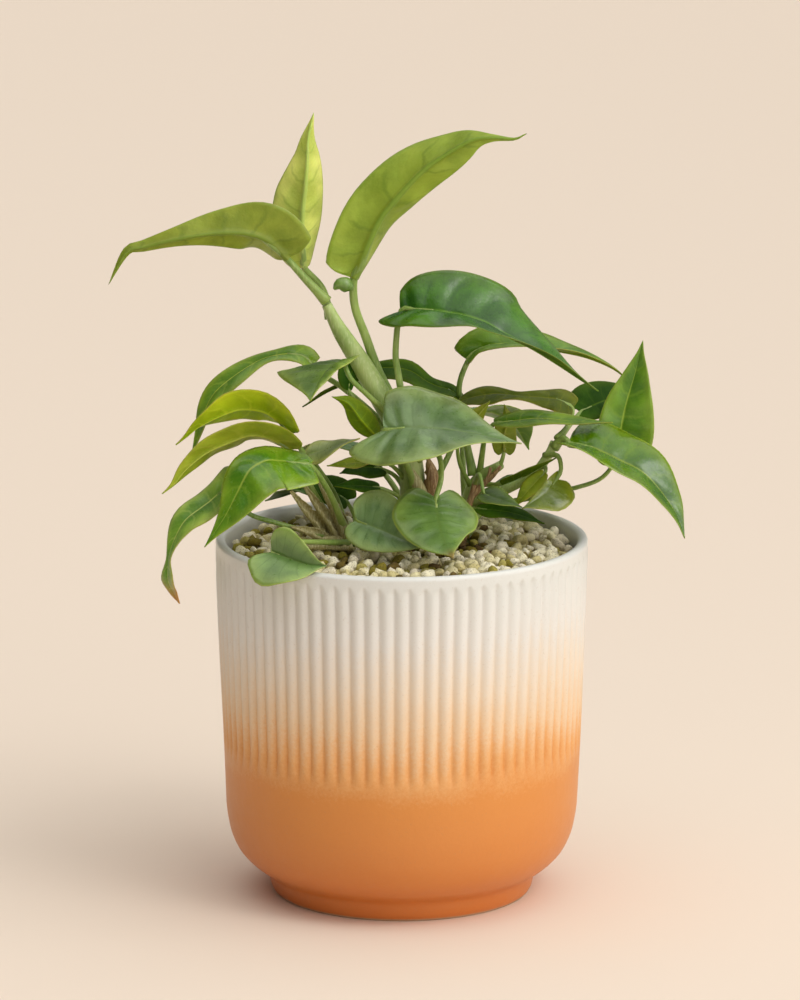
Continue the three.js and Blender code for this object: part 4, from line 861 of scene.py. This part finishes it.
         stalk=[(2, -1, 120), (-5, -8, 127), (-12, -14, 128.5)],
         wide=(12, 8.1), fold=(20, -1), thick=1, curl=(-10, -13), lobe_drop=0.9,
         lobes=(0.9, 0.6), tint=(2.3, 1.9, 2.7)),
    Leaf("leaf_front_heart_right", "grey",
         rib=[(10.8, -22, 134.4), (11.4, -29, 130.1), (12.9, -37, 124.9), (16.2, -46, 120.3)],
         up=[(0.19, -0.6, 0.78), (-0.13, -0.76, 0.63)],
         stalk=[(5, 0, 142), (9, -7, 147.5), (12, -14, 146), (12.5, -19, 140)],
         wide=(13.7, 14.3), fold=(-5, -5), thick=1, curl=(-13, -10), lobe_drop=0.4,
         lobes=(1.1, 1), tip=0.4, tint=(1.2, 1.15, 0.8)),
    Leaf("leaf_small_grey_right", "grey",
         rib=[(26.3, -7, 132.5), (30.9, -11, 131.6), (38.4, -15, 129.8)],
         up=[(-0.05, -0.52, 0.85), (-0.02, -0.24, 0.97)],
         stalk=[(23, 13, 129), (24, 5, 134.5), (25, -2, 137.5)],
         wide=(4.5, 4.1), fold=(10, 1), thick=0.8, curl=(-6, 6), lobe_drop=1.7,
         lobes=(0.8, 0.5), tint=(0.7, 0.7, 0.15)),
    Leaf("leaf_low_dark_right", "shaded",
         rib=[(24, 7, 124.5), (35, 3, 124), (46, 0, 121)],
         up=[(0, -0.3, 0.95), (0, -0.3, 0.95)],
         stalk=[(20.5, 15, 117), (21, 11, 121.5)],
         wide=(4.6, 5), fold=(6, 6), thick=0.8, shape="lance"),
    Leaf("leaf_folded_right", "grey",
         rib=[(49.6, -7, 137.2), (46.1, -11, 133.6), (38.3, -16, 129.5)],
         up=[(0.16, -0.91, 0.39), (-0.34, -0.68, 0.65)],
         stalk=[(46, 2, 143), (50, -3, 144), (51, -6, 140)],
         wide=(8.4, 2.5), fold=(2, 6), thick=0.8, curl=(-8, -5), lobe_drop=0.8,
         lobes=(1, 1.6), tint=(1.4, 1, 0.2)),
    Leaf("leaf_shaded_right", "shaded",
         rib=[(58, 17, 154.5), (65, 20, 157), (73, 24, 158.5), (80, 28, 158)],
         up=[(-0.2, -0.7, 0.6), (0, -0.5, 0.8)],
         stalk=[(50.5, 1.5, 148), (54, 10, 151)],
         wide=(9, 6), fold=(8, 8), thick=0.8),
    Leaf("leaf_blade_edge_right", "shaded",
         rib=[(32, 1, 134.4), (40, -1.5, 138), (49.5, -4, 143.6)],
         up=[(-0.3, 0.5, 0.8), (-0.3, 0.5, 0.8)],
         stalk=[(26.5, 10, 132), (29.5, 5.5, 132.7)],
         wide=(2.8, 2.8), fold=(12, 12), thick=0.8, shape="lance"),
    Leaf("leaf_olive_low_right", "olive",
         rib=[(46, -3, 138.5), (41, -5, 133.5), (36, -7, 128)],
         up=[(-0.5, -0.7, 0.4), (-0.5, -0.7, 0.4)],
         stalk=[(43, 3, 137), (46, 0.5, 140)],
         wide=(3.6, 3.6), fold=(10, 10), thick=0.7, shape="lance"),
    Leaf("leaf_tip_inner_right", "olive",
         rib=[(20, 5, 150), (24, 4, 155.4), (28.4, 3, 160.8)],
         up=[(-0.2, 0.9, 0.2), (-0.2, 0.9, 0.2)],
         stalk=[(22.5, 14, 130), (19, 9, 138), (18, 5, 145)],
         wide=(3, 3), fold=(12, 12), thick=0.7, shape="lance"),
    Leaf("leaf_back_left", "green",
         rib=[(-12, 26, 139), (-20, 33, 140), (-30, 41, 134), (-36, 47, 125)],
         up=[(-0.3, 0.45, 0.85), (-0.5, 0.6, 0.6)],
         stalk=[(3, 6, 118), (-1, 12, 128), (-8, 21, 136)],
         wide=(12, 12), fold=(10, 10), thick=1, curl=(-15, -15)),
    Leaf("leaf_back_middle", "deep",
         rib=[(2, 32, 144), (0, 41, 144), (-3, 51, 137), (-4, 59, 127)],
         up=[(0, 0.5, 0.85), (0, 0.8, 0.6)],
         stalk=[(5, 7, 120), (6, 14, 131), (4, 25, 141)],
         wide=(13, 13), fold=(10, 10), thick=1, curl=(-15, -15)),
    Leaf("leaf_back_right", "bright",
         rib=[(22, 34, 150), (29, 40, 150), (37, 47, 144), (42, 53, 134)],
         up=[(0.3, 0.5, 0.8), (0.5, 0.6, 0.6)],
         stalk=[(21, 18, 121), (20, 24, 133), (20, 30, 144)],
         wide=(12, 12), fold=(12, 12), thick=1, curl=(-15, -15)),
    Leaf("leaf_back_low_right", "green",
         rib=[(35, 28, 127), (42, 33, 128), (50, 39, 124), (56, 44, 119)],
         up=[(0.3, 0.3, 0.9), (0.4, 0.4, 0.8)],
         stalk=[(21, 17, 116), (26, 21, 120), (32, 25.5, 125)],
         wide=(9, 9), fold=(10, 10), thick=0.9),
    Leaf("leaf_back_low_left", "deep",
         rib=[(-24, 24, 125), (-31, 31, 126), (-39, 38, 122), (-45, 43, 119)],
         up=[(-0.3, 0.3, 0.9), (-0.4, 0.4, 0.8)],
         stalk=[(-18, 2, 115), (-19, 11, 118), (-22, 19, 122.5)],
         wide=(10, 10), fold=(10, 10), thick=0.9),
]
for number, leaf in enumerate(LEAVES):
    build_leaf(leaf, 100 + number)

# Shoots and sheaths

SHOOTS = {
    "shoot_left": [
        ([(-17, 1, 96), (-17.5, 1, 108), (-18, 0.5, 121)], [3.6, 4.2, 2.6]),
        ([(-18, 0, 110), (-20, -1, 117), (-25, -2, 126)], [3, 3, 1]),
        ([(-17, -1, 111), (-20, -5, 116), (-25, -9, 118)], [2.5, 2, 0.9]),
    ],
    "shoot_centre": [
        ([(4, 4, 96), (4, 4, 120), (3, 2, 139), (-1, 0, 152)], [5, 5, 4.4, 3.7]),
        ([(1, 1, 145), (-2, 0, 154), (-7, 1, 163), (-13, 3, 173), (-20, 4, 184), (-24, 4, 192)],
         [4, 3.6, 3.4, 3.2, 2.7, 1.7]),
    ],
    "shoot_right": [
        ([(20, 16, 96), (20, 16, 114), (24, 14, 131), (32, 9, 138.5)], [3.4, 3.2, 2.6, 1.4]),
        ([(23, 14, 126), (33, 9, 130), (42, 4, 136), (47, 2, 143), (49, 1.5, 147.5)],
         [2.2, 1.7, 1.4, 1.6, 1.3]),
    ],
}


def join_tubes(tubes, sides, ring_step, wobble, seed):
    """Points and faces of several tubes, and the number of the tube that each face belongs to."""
    points, faces, owner = np.zeros((0, 3)), [], []
    for number, (path, radii) in enumerate(tubes):
        new_points, new_faces, _ = tube(path, radii, sides, ring_step, wobble, seed + number)
        faces += [tuple(len(points) + v for v in face) for face in new_faces]
        owner += [number] * len(new_faces)
        points = np.concatenate([points, new_points])
    return points, faces, owner


for number, (name, tubes) in enumerate(SHOOTS.items()):
    points, faces, owner = join_tubes(tubes, 20, 1.2, 0.05, 40 + 7 * number)
    # The side tubes of the left shoot are sheaths.
    picks = [1 if k and name == "shoot_left" else 0 for k in owner]
    add_mesh(name, points, faces, [shoot_material, pale_sheath], picks, replaces=(name,))


HUSK_SPREAD = math.radians(112)
HUSK_THICKNESS = 0.22


def husk(name, path, widths, open_to, material, seed):
    """A papery sheath: a thin trough along a path, open towards one side, with ragged edges."""
    curve = Curve(path)
    rings, arc = max(8, int(curve.total / 0.9)), 12
    share = np.linspace(0, 1, rings + 1)
    opening = np.array(open_to, float)
    rng = np.random.default_rng(seed)
    width = np.interp(share, np.linspace(0, 1, len(widths)), widths)
    along, centre = curve.direction(share), curve.at(share)
    ragged = 1 + 0.12 * rng.normal(size=(rings + 1, 2))
    outer, inner = [], []
    for k in range(rings + 1):
        away = unit(opening - along[k] * (along[k] @ opening))
        side = np.cross(along[k], away)
        half = HUSK_SPREAD * np.linspace(-ragged[k, 0], ragged[k, 1], arc + 1)
        creases = 1 + 0.06 * np.sin(half * 9 + seed)
        spoke = -np.outer(np.cos(half), away) + np.outer(np.sin(half), side)
        outer.append(centre[k] + spoke * (width[k] * creases)[:, None])
        inner.append(centre[k] + spoke * (width[k] * creases - HUSK_THICKNESS)[:, None])
    points = np.concatenate([*outer, *inner])
    step, count = arc + 1, (rings + 1) * (arc + 1)
    faces = []
    for k in range(rings):
        for j in range(arc):
            a = k * step + j
            faces.append((a, a + step, a + step + 1, a + 1))
            faces.append((count + a, count + a + 1, count + a + step + 1, count + a + step))
        for a, b in ((k * step, (k + 1) * step), ((k + 1) * step + arc, k * step + arc)):
            faces.append((b, a, count + a, count + b))
    for row, flip in ((0, False), (rings * step, True)):
        for j in range(arc):
            a, b = (row + j + 1, row + j) if flip else (row + j, row + j + 1)
            faces.append((a, b, count + b, count + a))
    add_mesh(name, points, faces, [material])


HUSKS = [
    ("sheath_left_outer", [(-18, -2, 112), (-25, -5, 121), (-31, -7, 128), (-35.5, -8, 133.5)],
     [2.2, 2.4, 1.9, 0.5], (0.6, -0.6, 0.6), "pale"),
    ("sheath_left_middle", [(-17, -3, 112), (-22, -5, 122), (-27, -6.5, 129), (-31.5, -7, 135.5)],
     [2.6, 2.4, 1.7, 0.5], (0.7, -0.5, 0.4), "pale"),
    ("sheath_left_inner", [(-15.5, -2.5, 113), (-19.5, -4, 123), (-24, -4.5, 132), (-28.5, -5, 140)],
     [2.6, 2.3, 1.6, 0.4], (0.8, -0.5, 0.3), "pale"),
    ("sheath_left_low", [(-18, -5, 114), (-24, -8, 118), (-30, -10, 121), (-35.5, -11, 122.5)],
     [2.0, 2.2, 1.7, 0.4], (0, -0.5, 0.9), "pale"),
    ("sheath_on_gravel", [(-15.5, -7, 115.5), (-21, -10, 116.5), (-27, -13, 117), (-33, -15, 116.5)],
     [2.0, 2.1, 1.6, 0.4], (0, -0.3, 1), "pale"),
    ("sheath_centre_brown", [(9.5, 0.5, 130), (9.6, 0, 135), (9, -0.5, 140), (8.2, -1, 143)],
     [2.2, 2.6, 2.0, 0.5], (-0.7, 0.7, 0), "brown"),
    ("sheath_centre_pale", [(6.5, -1.5, 131), (4.5, -2.5, 135), (2.5, -3.2, 139), (1, -3.6, 142)],
     [2.0, 2.2, 1.6, 0.5], (0, 0.9, 0.2), "pale"),
]
husk_materials = {"brown": brown_sheath, "pale": pale_sheath}
for number, (name, path, widths, open_to, tone) in enumerate(HUSKS):
    husk(name, path, widths, open_to, husk_materials[tone], 60 + number)

BROWN_STUBS = [
    ([(19.4, 9, 113), (20.5, 8.5, 121), (22.5, 8, 128), (23.8, 8, 133.5)], [1.5, 1.3, 1.2, 0.9]),
    ([(22.5, 8, 128), (26, 7.5, 132), (29.5, 7, 135.5), (31.8, 6.5, 138.5)], [1.1, 0.9, 0.8, 0.6]),
    ([(26, 7.5, 132), (28, 7.5, 135), (28.6, 7.5, 138)], [0.8, 0.7, 0.4]),
]
points, faces, _ = join_tubes(BROWN_STUBS, 10, 1.0, 0.12, 80)
add_mesh("dead_stubs", points, faces, [brown_sheath])

CURLED_LOBE = [(-21.6, 4, 197), (-20.2, 3.6, 198.4), (-18.2, 3.6, 198.6), (-15.8, 4.6, 197.6)]
points, faces, share = tube(CURLED_LOBE, [0.5, 1.9, 2.3, 1.0], 16, 0.5, 0.1, 90)
# Its tint lightens it: partly its own grey-green and partly a painted highlight.
add_mesh("curled_lobe", points, faces, [leaf_materials["grey"][0]],
         grid=np.stack([share, np.full(len(share), 0.6)], -1),
         values={"tint": np.tile([2.0, 1.7, 1.2], (len(points), 1)), "tip": np.zeros(len(points))})

# Pot

RIM_RADIUS = 59.93
PLAIN_LIP = 59.7
FLUTES = 78
FLUTE_DEPTH = 0.95
FLUTE_TOP = 112.6
FLUTE_BOTTOM = 46.0
FLUTE_FADE = 8.0
FLUTE_TOP_FADE = 3.0
COLUMNS_A_FLUTE = 10


BOWL_TOP = (57.0, 29.0)
WALL_TOP = (60.0, 112.5)


def wall_radius(z):
    """Radius of the wall, which widens evenly from the bowl to the lip."""
    (low, start), (high, end) = BOWL_TOP, WALL_TOP
    return low + (high - low) * (z - start) / (end - start)


def pot_profile():
    """Radius and height from the middle of the underside, up the outside, over the lip and in."""
    foot = [(0.0, 0.0), (20.0, 0.0), (40.6, 0.0), (41.3, 0.15), (41.7, 0.7)]
    bowl = [foot[-1], (42.4, 2.0), (42.9, 4.0), (43.2, 6.0), (44.7, 7.5), (48.8, 10.2), (52.8, 14.4),
            (55.3, 19.6), (56.5, 25.0), BOWL_TOP]
    lip = [(60, 114.0), (60, 115.2), (59.75, 116.3), (58.9, 116.95), (57.8, 116.95), (56.9, 116.4),
           (56.5, 115.2), (56.3, 113.0)]
    inside = [(56.1, 108), (56, 100), (53.6, 30), (51.6, 18), (46, 9), (0.0, 9.0)]
    # The wall has more rows where the flutes start and end.
    levels = [*np.linspace(32, 44, 5), *np.linspace(46, 56, 8), *np.linspace(64, 104, 6),
              *np.linspace(108, 113.6, 10)]
    return np.array(foot + through(bowl, np.linspace(0, 9, 37))[1:].tolist()
                    + [(wall_radius(z), z) for z in levels]
                    + through(lip, np.linspace(0, 7, 19)).tolist() + inside)


def flute_depth(profile, turn, outer):
    """Depth under the wall's surface at each point of the pot's grid."""
    # 0 in the middle of a reed and 1 in the groove at each end of it.
    across = np.abs(2 * ((turn * FLUTES / (2 * np.pi)) % 1) - 1)[None, :]
    height = profile[:, 1:2]
    low = np.clip((height - FLUTE_BOTTOM) / FLUTE_FADE, 0, 1)
    low = low * low * (3 - 2 * low)
    # The reeds end in round tops under the plain lip.
    high = np.clip((FLUTE_TOP + 0.7 * across ** 2 - height) / FLUTE_TOP_FADE, 0, 1)
    high = np.sqrt(1 - (1 - high) ** 2)
    return FLUTE_DEPTH * across ** 1.8 * low * high * outer


def hand_made(height, turn, outer):
    """Slight unevenness of a thrown wall, none at the foot."""
    waves = zip((0.12, 0.08, 0.05), (2, 3, 5), (30, 18, 11), np.random.default_rng(5).uniform(0, 6, 3))
    uneven = sum(size * np.sin(n * turn[None, :] + height / pitch + phase) for size, n, pitch, phase in waves)
    return uneven * outer * np.clip(height / 10, 0, 1)


def build_pot():
    profile = pot_profile()
    columns = FLUTES * COLUMNS_A_FLUTE
    turn = 2 * np.pi * np.arange(columns) / columns
    outer = (np.arange(len(profile)) < np.argmax(profile[:, 1]))[:, None]
    wall, height = profile[:, 0:1], profile[:, 1:2]
    depth = flute_depth(profile, turn, outer)
    radius = wall - depth + hand_made(height, turn, outer) * (wall < PLAIN_LIP)
    radius = np.minimum(radius, RIM_RADIUS)
    # The profile's two ends lie on the axis, so each is one point in place of a ring.
    points = np.stack([radius * np.cos(turn), radius * np.sin(turn), height + 0 * turn], -1)[1:-1]
    rings = len(points)
    column = np.arange(columns)
    after = (column + 1) % columns
    faces = []
    for k in range(rings - 1):
        a, b = k * columns + column, k * columns + after
        faces += np.stack([a, b, b + columns, a + columns], -1).tolist()
    under, floor, last = rings * columns, rings * columns + 1, (rings - 1) * columns
    for k, following in enumerate(after.tolist()):
        faces.append([under, following, k])
        faces.append([floor, last + k, last + following])
    points = np.vstack([points.reshape(-1, 3), [0, 0, profile[0, 1]], [0, 0, profile[-1, 1]]])
    groove = np.concatenate([(depth / FLUTE_DEPTH)[1:-1].reshape(-1), [0, 0]])
    add_mesh("pot", points, faces, [glaze_material()], replaces=("pot",),
             values={"groove": groove})


build_pot()
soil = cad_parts["potting_mix"]
soil_look = soil_material()
for place in soil.material_slots:
    place.link = "OBJECT"
    place.material = soil_look

# Pumice

GRAVEL_TOP = 113.7
GRAVEL_REACH = 55.3
GRAIN_PITCH = 4.1
ROW_SHARE = 0.866
GRAIN_RADII = (1.7, 3.0)
# Height of each layer of grains, and the share of its places that hold one.
LAYERS = ((GRAVEL_TOP - 2.4, 1.0), (GRAVEL_TOP - 0.3, 0.8))
GRIT_BOTTOM = 105.4
GRIT_TOP = GRAVEL_TOP - 3.4
GRIT_SIDES = 48


def unit_pebble():
    """A rounded twenty-sided form split once: points on the unit sphere and triangles."""
    g = (1 + 5 ** 0.5) / 2
    points = [(-1, g, 0), (1, g, 0), (-1, -g, 0), (1, -g, 0), (0, -1, g), (0, 1, g), (0, -1, -g), (0, 1, -g),
              (g, 0, -1), (g, 0, 1), (-g, 0, -1), (-g, 0, 1)]
    faces = [(0, 11, 5), (0, 5, 1), (0, 1, 7), (0, 7, 10), (0, 10, 11), (1, 5, 9), (5, 11, 4), (11, 10, 2),
             (10, 7, 6), (7, 1, 8), (3, 9, 4), (3, 4, 2), (3, 2, 6), (3, 6, 8), (3, 8, 9), (4, 9, 5),
             (2, 4, 11), (6, 2, 10), (8, 6, 7), (9, 8, 1)]
    points = [tuple(unit(np.array(p, float))) for p in points]
    halves = {}

    def middle(a, b):
        key = (min(a, b), max(a, b))
        if key not in halves:
            points.append(tuple(unit(np.array(points[a]) + np.array(points[b]))))
            halves[key] = len(points) - 1
        return halves[key]

    split = []
    for a, b, c in faces:
        ab, bc, ca = middle(a, b), middle(b, c), middle(c, a)
        split += [(a, ab, ca), (b, bc, ab), (c, ca, bc), (ab, bc, ca)]
    return np.array(points), np.array(split)


def grain_spots(rng):
    """Place, size and layer of each grain, in rows that are pushed out of line a little."""
    rows = int(2 * GRAVEL_REACH / (GRAIN_PITCH * ROW_SHARE)) + 2
    spots = []
    for layer, (level, share) in enumerate(LAYERS):
        for row in range(-rows, rows + 1):
            for column in range(-rows, rows + 1):
                x = GRAIN_PITCH * (column + 0.5 * (row % 2) + 0.4 * layer) + rng.normal(0, 0.6)
                y = GRAIN_PITCH * ROW_SHARE * (row + 0.3 * layer) + rng.normal(0, 0.6)
                size = rng.uniform(*GRAIN_RADII)
                if math.hypot(x, y) > GRAVEL_REACH - size * 0.75 or rng.random() > share:
                    continue
                spots.append((x, y, level + rng.normal(0, 0.35), size, layer))
    return spots


def grain_shape(rng, form, size):
    """One worn, angular grain about the origin."""
    stretch = np.array([1, rng.uniform(0.72, 1.0), rng.uniform(0.6, 0.9)])
    axis = unit(rng.normal(size=3))
    angle = rng.uniform(0, np.pi)
    cross = np.array([[0, -axis[2], axis[1]], [axis[2], 0, -axis[0]], [-axis[1], axis[0], 0]])
    turn = np.eye(3) + math.sin(angle) * cross + (1 - math.cos(angle)) * cross @ cross
    shape = form.copy()
    for _ in range(7):
        # A flat cut.
        facing = unit(rng.normal(size=3))
        over = np.maximum(shape @ facing - rng.uniform(0.5, 0.82), 0)
        shape -= np.outer(over, facing)
    shape *= (1 + rng.normal(0, 0.035, (len(shape), 1)))
    return (shape * stretch * size) @ turn.T


def grain_tone(rng, x, y, layer):
    """A number for the pumice's colours. Moss lies at the left and in front, and grains between the shoots
    are more often mossy and brown. Grains of the lower layer are darker: painted shade in the gaps between
    the top grains.
    """
    among_shoots = math.hypot(x - 12, y - 2) < 15
    mossy = 0.3 if (x < -18 or (abs(x) < 14 and y < -30)) else 0.05
    bark = 0.04
    if among_shoots:
        mossy, bark = 0.5, 0.3
    pick = rng.random()
    if pick < mossy:
        return rng.uniform(0.07, 0.2)
    if pick < mossy + bark:
        return rng.uniform(0.0, 0.05)
    # Grains of the lower layer get darker tones: painted shade in the gaps between the top grains.
    return rng.uniform(0.26, 1.0) if layer else rng.uniform(0.17, 0.36)


def build_gravel():
    rng = np.random.default_rng(31)
    form, triangles = unit_pebble()
    points, faces, tones = [], [], []
    for x, y, z, size, layer in grain_spots(rng):
        faces.append(triangles + len(points) * len(form))
        points.append(grain_shape(rng, form, size) + (x, y, z))
        tones.append(np.full(len(form), grain_tone(rng, x, y, layer)))
    # Fine grit fills the pot's mouth under the grains; its dark brown is painted shade at the bottom of the
    # gaps between them.
    ring = 2 * np.pi * np.arange(GRIT_SIDES) / GRIT_SIDES
    bottom = np.stack([GRAVEL_REACH * np.cos(ring), GRAVEL_REACH * np.sin(ring),
                       np.full(GRIT_SIDES, GRIT_BOTTOM)], -1)
    start = len(points) * len(form)
    all_points = np.concatenate([*points, bottom, bottom + (0, 0, GRIT_TOP - GRIT_BOTTOM)])
    all_faces = np.concatenate(faces).tolist()
    low = [start + k for k in range(GRIT_SIDES)]
    high = [k + GRIT_SIDES for k in low]
    all_faces += [low[::-1], high]
    for a, b in zip(low, low[1:] + low[:1]):
        all_faces.append([a, b, b + GRIT_SIDES, a + GRIT_SIDES])
    # The grit's dark tone is painted shade.
    tone = np.concatenate([*tones, np.full(2 * GRIT_SIDES, 0.02)])
    add_mesh("pumice_topdressing", all_points, all_faces, [pumice_material()],
             replaces=("pumice_topdressing",), values={"tone": tone})


build_gravel()

# Studio

def floor_material():
    tree = Tree("studio_floor")
    tree.set(Base_Color=srgb(236, 220, 203), Roughness=0.95, Specular_IOR_Level=0.0)
    return tree.material


bpy.ops.mesh.primitive_plane_add(size=24.0, location=(0, 4.0, 0))
floor = bpy.context.object
floor.name = "studio_floor"
floor.data.materials.append(floor_material())


def aim(piece, place, target):
    piece.location = place
    direction = np.array(target) - np.array(place)
    flat = math.hypot(direction[0], direction[1])
    piece.rotation_euler = (math.atan2(flat, -direction[2]), 0, math.atan2(-direction[0], direction[1]))
    bpy.context.scene.collection.objects.link(piece)


def lamp(name, kind, place, target, power, colour):
    light = bpy.data.lights.new(name, kind)
    light.energy = power
    light.color = colour
    aim(bpy.data.objects.new(name, light), place, target)
    return light


def softbox(name, place, size, power, colour):
    lamp(name, "AREA", place, (0, 0, 0.16), power, colour).size = size


def sun(name, place, angle, power, colour):
    lamp(name, "SUN", place, (0, 0, 0.12), power, colour).angle = math.radians(angle)


sun("key", (1.5, -1.0, 0.8), 80, 1.6, (1.0, 0.985, 0.955))
sun("front", (0.3, -1.5, 1.05), 80, 0.25, (1.0, 0.985, 0.96))
softbox("softbox", (0.9, -0.8, 1.35), 0.6, 4.5, (1.0, 0.99, 0.97))
sun("top", (0.1, 0.1, 2.0), 90, 1.5, (1.0, 0.985, 0.96))

world = bpy.data.worlds.new("studio")
bpy.context.scene.world = world
world.use_nodes = True
sky = world.node_tree.nodes["Background"]
sky.inputs["Color"].default_value = (1.0, 0.98, 0.955, 1)
# The room is darker on the left than on the right.
around = world.node_tree.nodes.new("ShaderNodeTexCoord")
parts = world.node_tree.nodes.new("ShaderNodeSeparateXYZ")
level = world.node_tree.nodes.new("ShaderNodeMapRange")
for name, value in {"From Min": -1.0, "From Max": 1.0, "To Min": 0.04, "To Max": 0.46}.items():
    level.inputs[name].default_value = value
world.node_tree.links.new(around.outputs["Generated"], parts.inputs[0])
world.node_tree.links.new(parts.outputs[0], level.inputs["Value"])
world.node_tree.links.new(level.outputs[0], sky.inputs["Strength"])
bpy.context.scene.view_settings.view_transform = "Standard"

CAMERA = (-0.00056, -2.0, 0.5719)
AIM_HEIGHT = 0.12882
camera_data = bpy.data.cameras.new("camera")
camera_data.lens = 229.32
camera_data.sensor_width = 36
camera = bpy.data.objects.new("camera", camera_data)
camera.location = CAMERA
camera.rotation_euler = (math.atan2(-CAMERA[1], CAMERA[2] - AIM_HEIGHT), 0, 0)
bpy.context.scene.collection.objects.link(camera)
bpy.context.scene.camera = camera
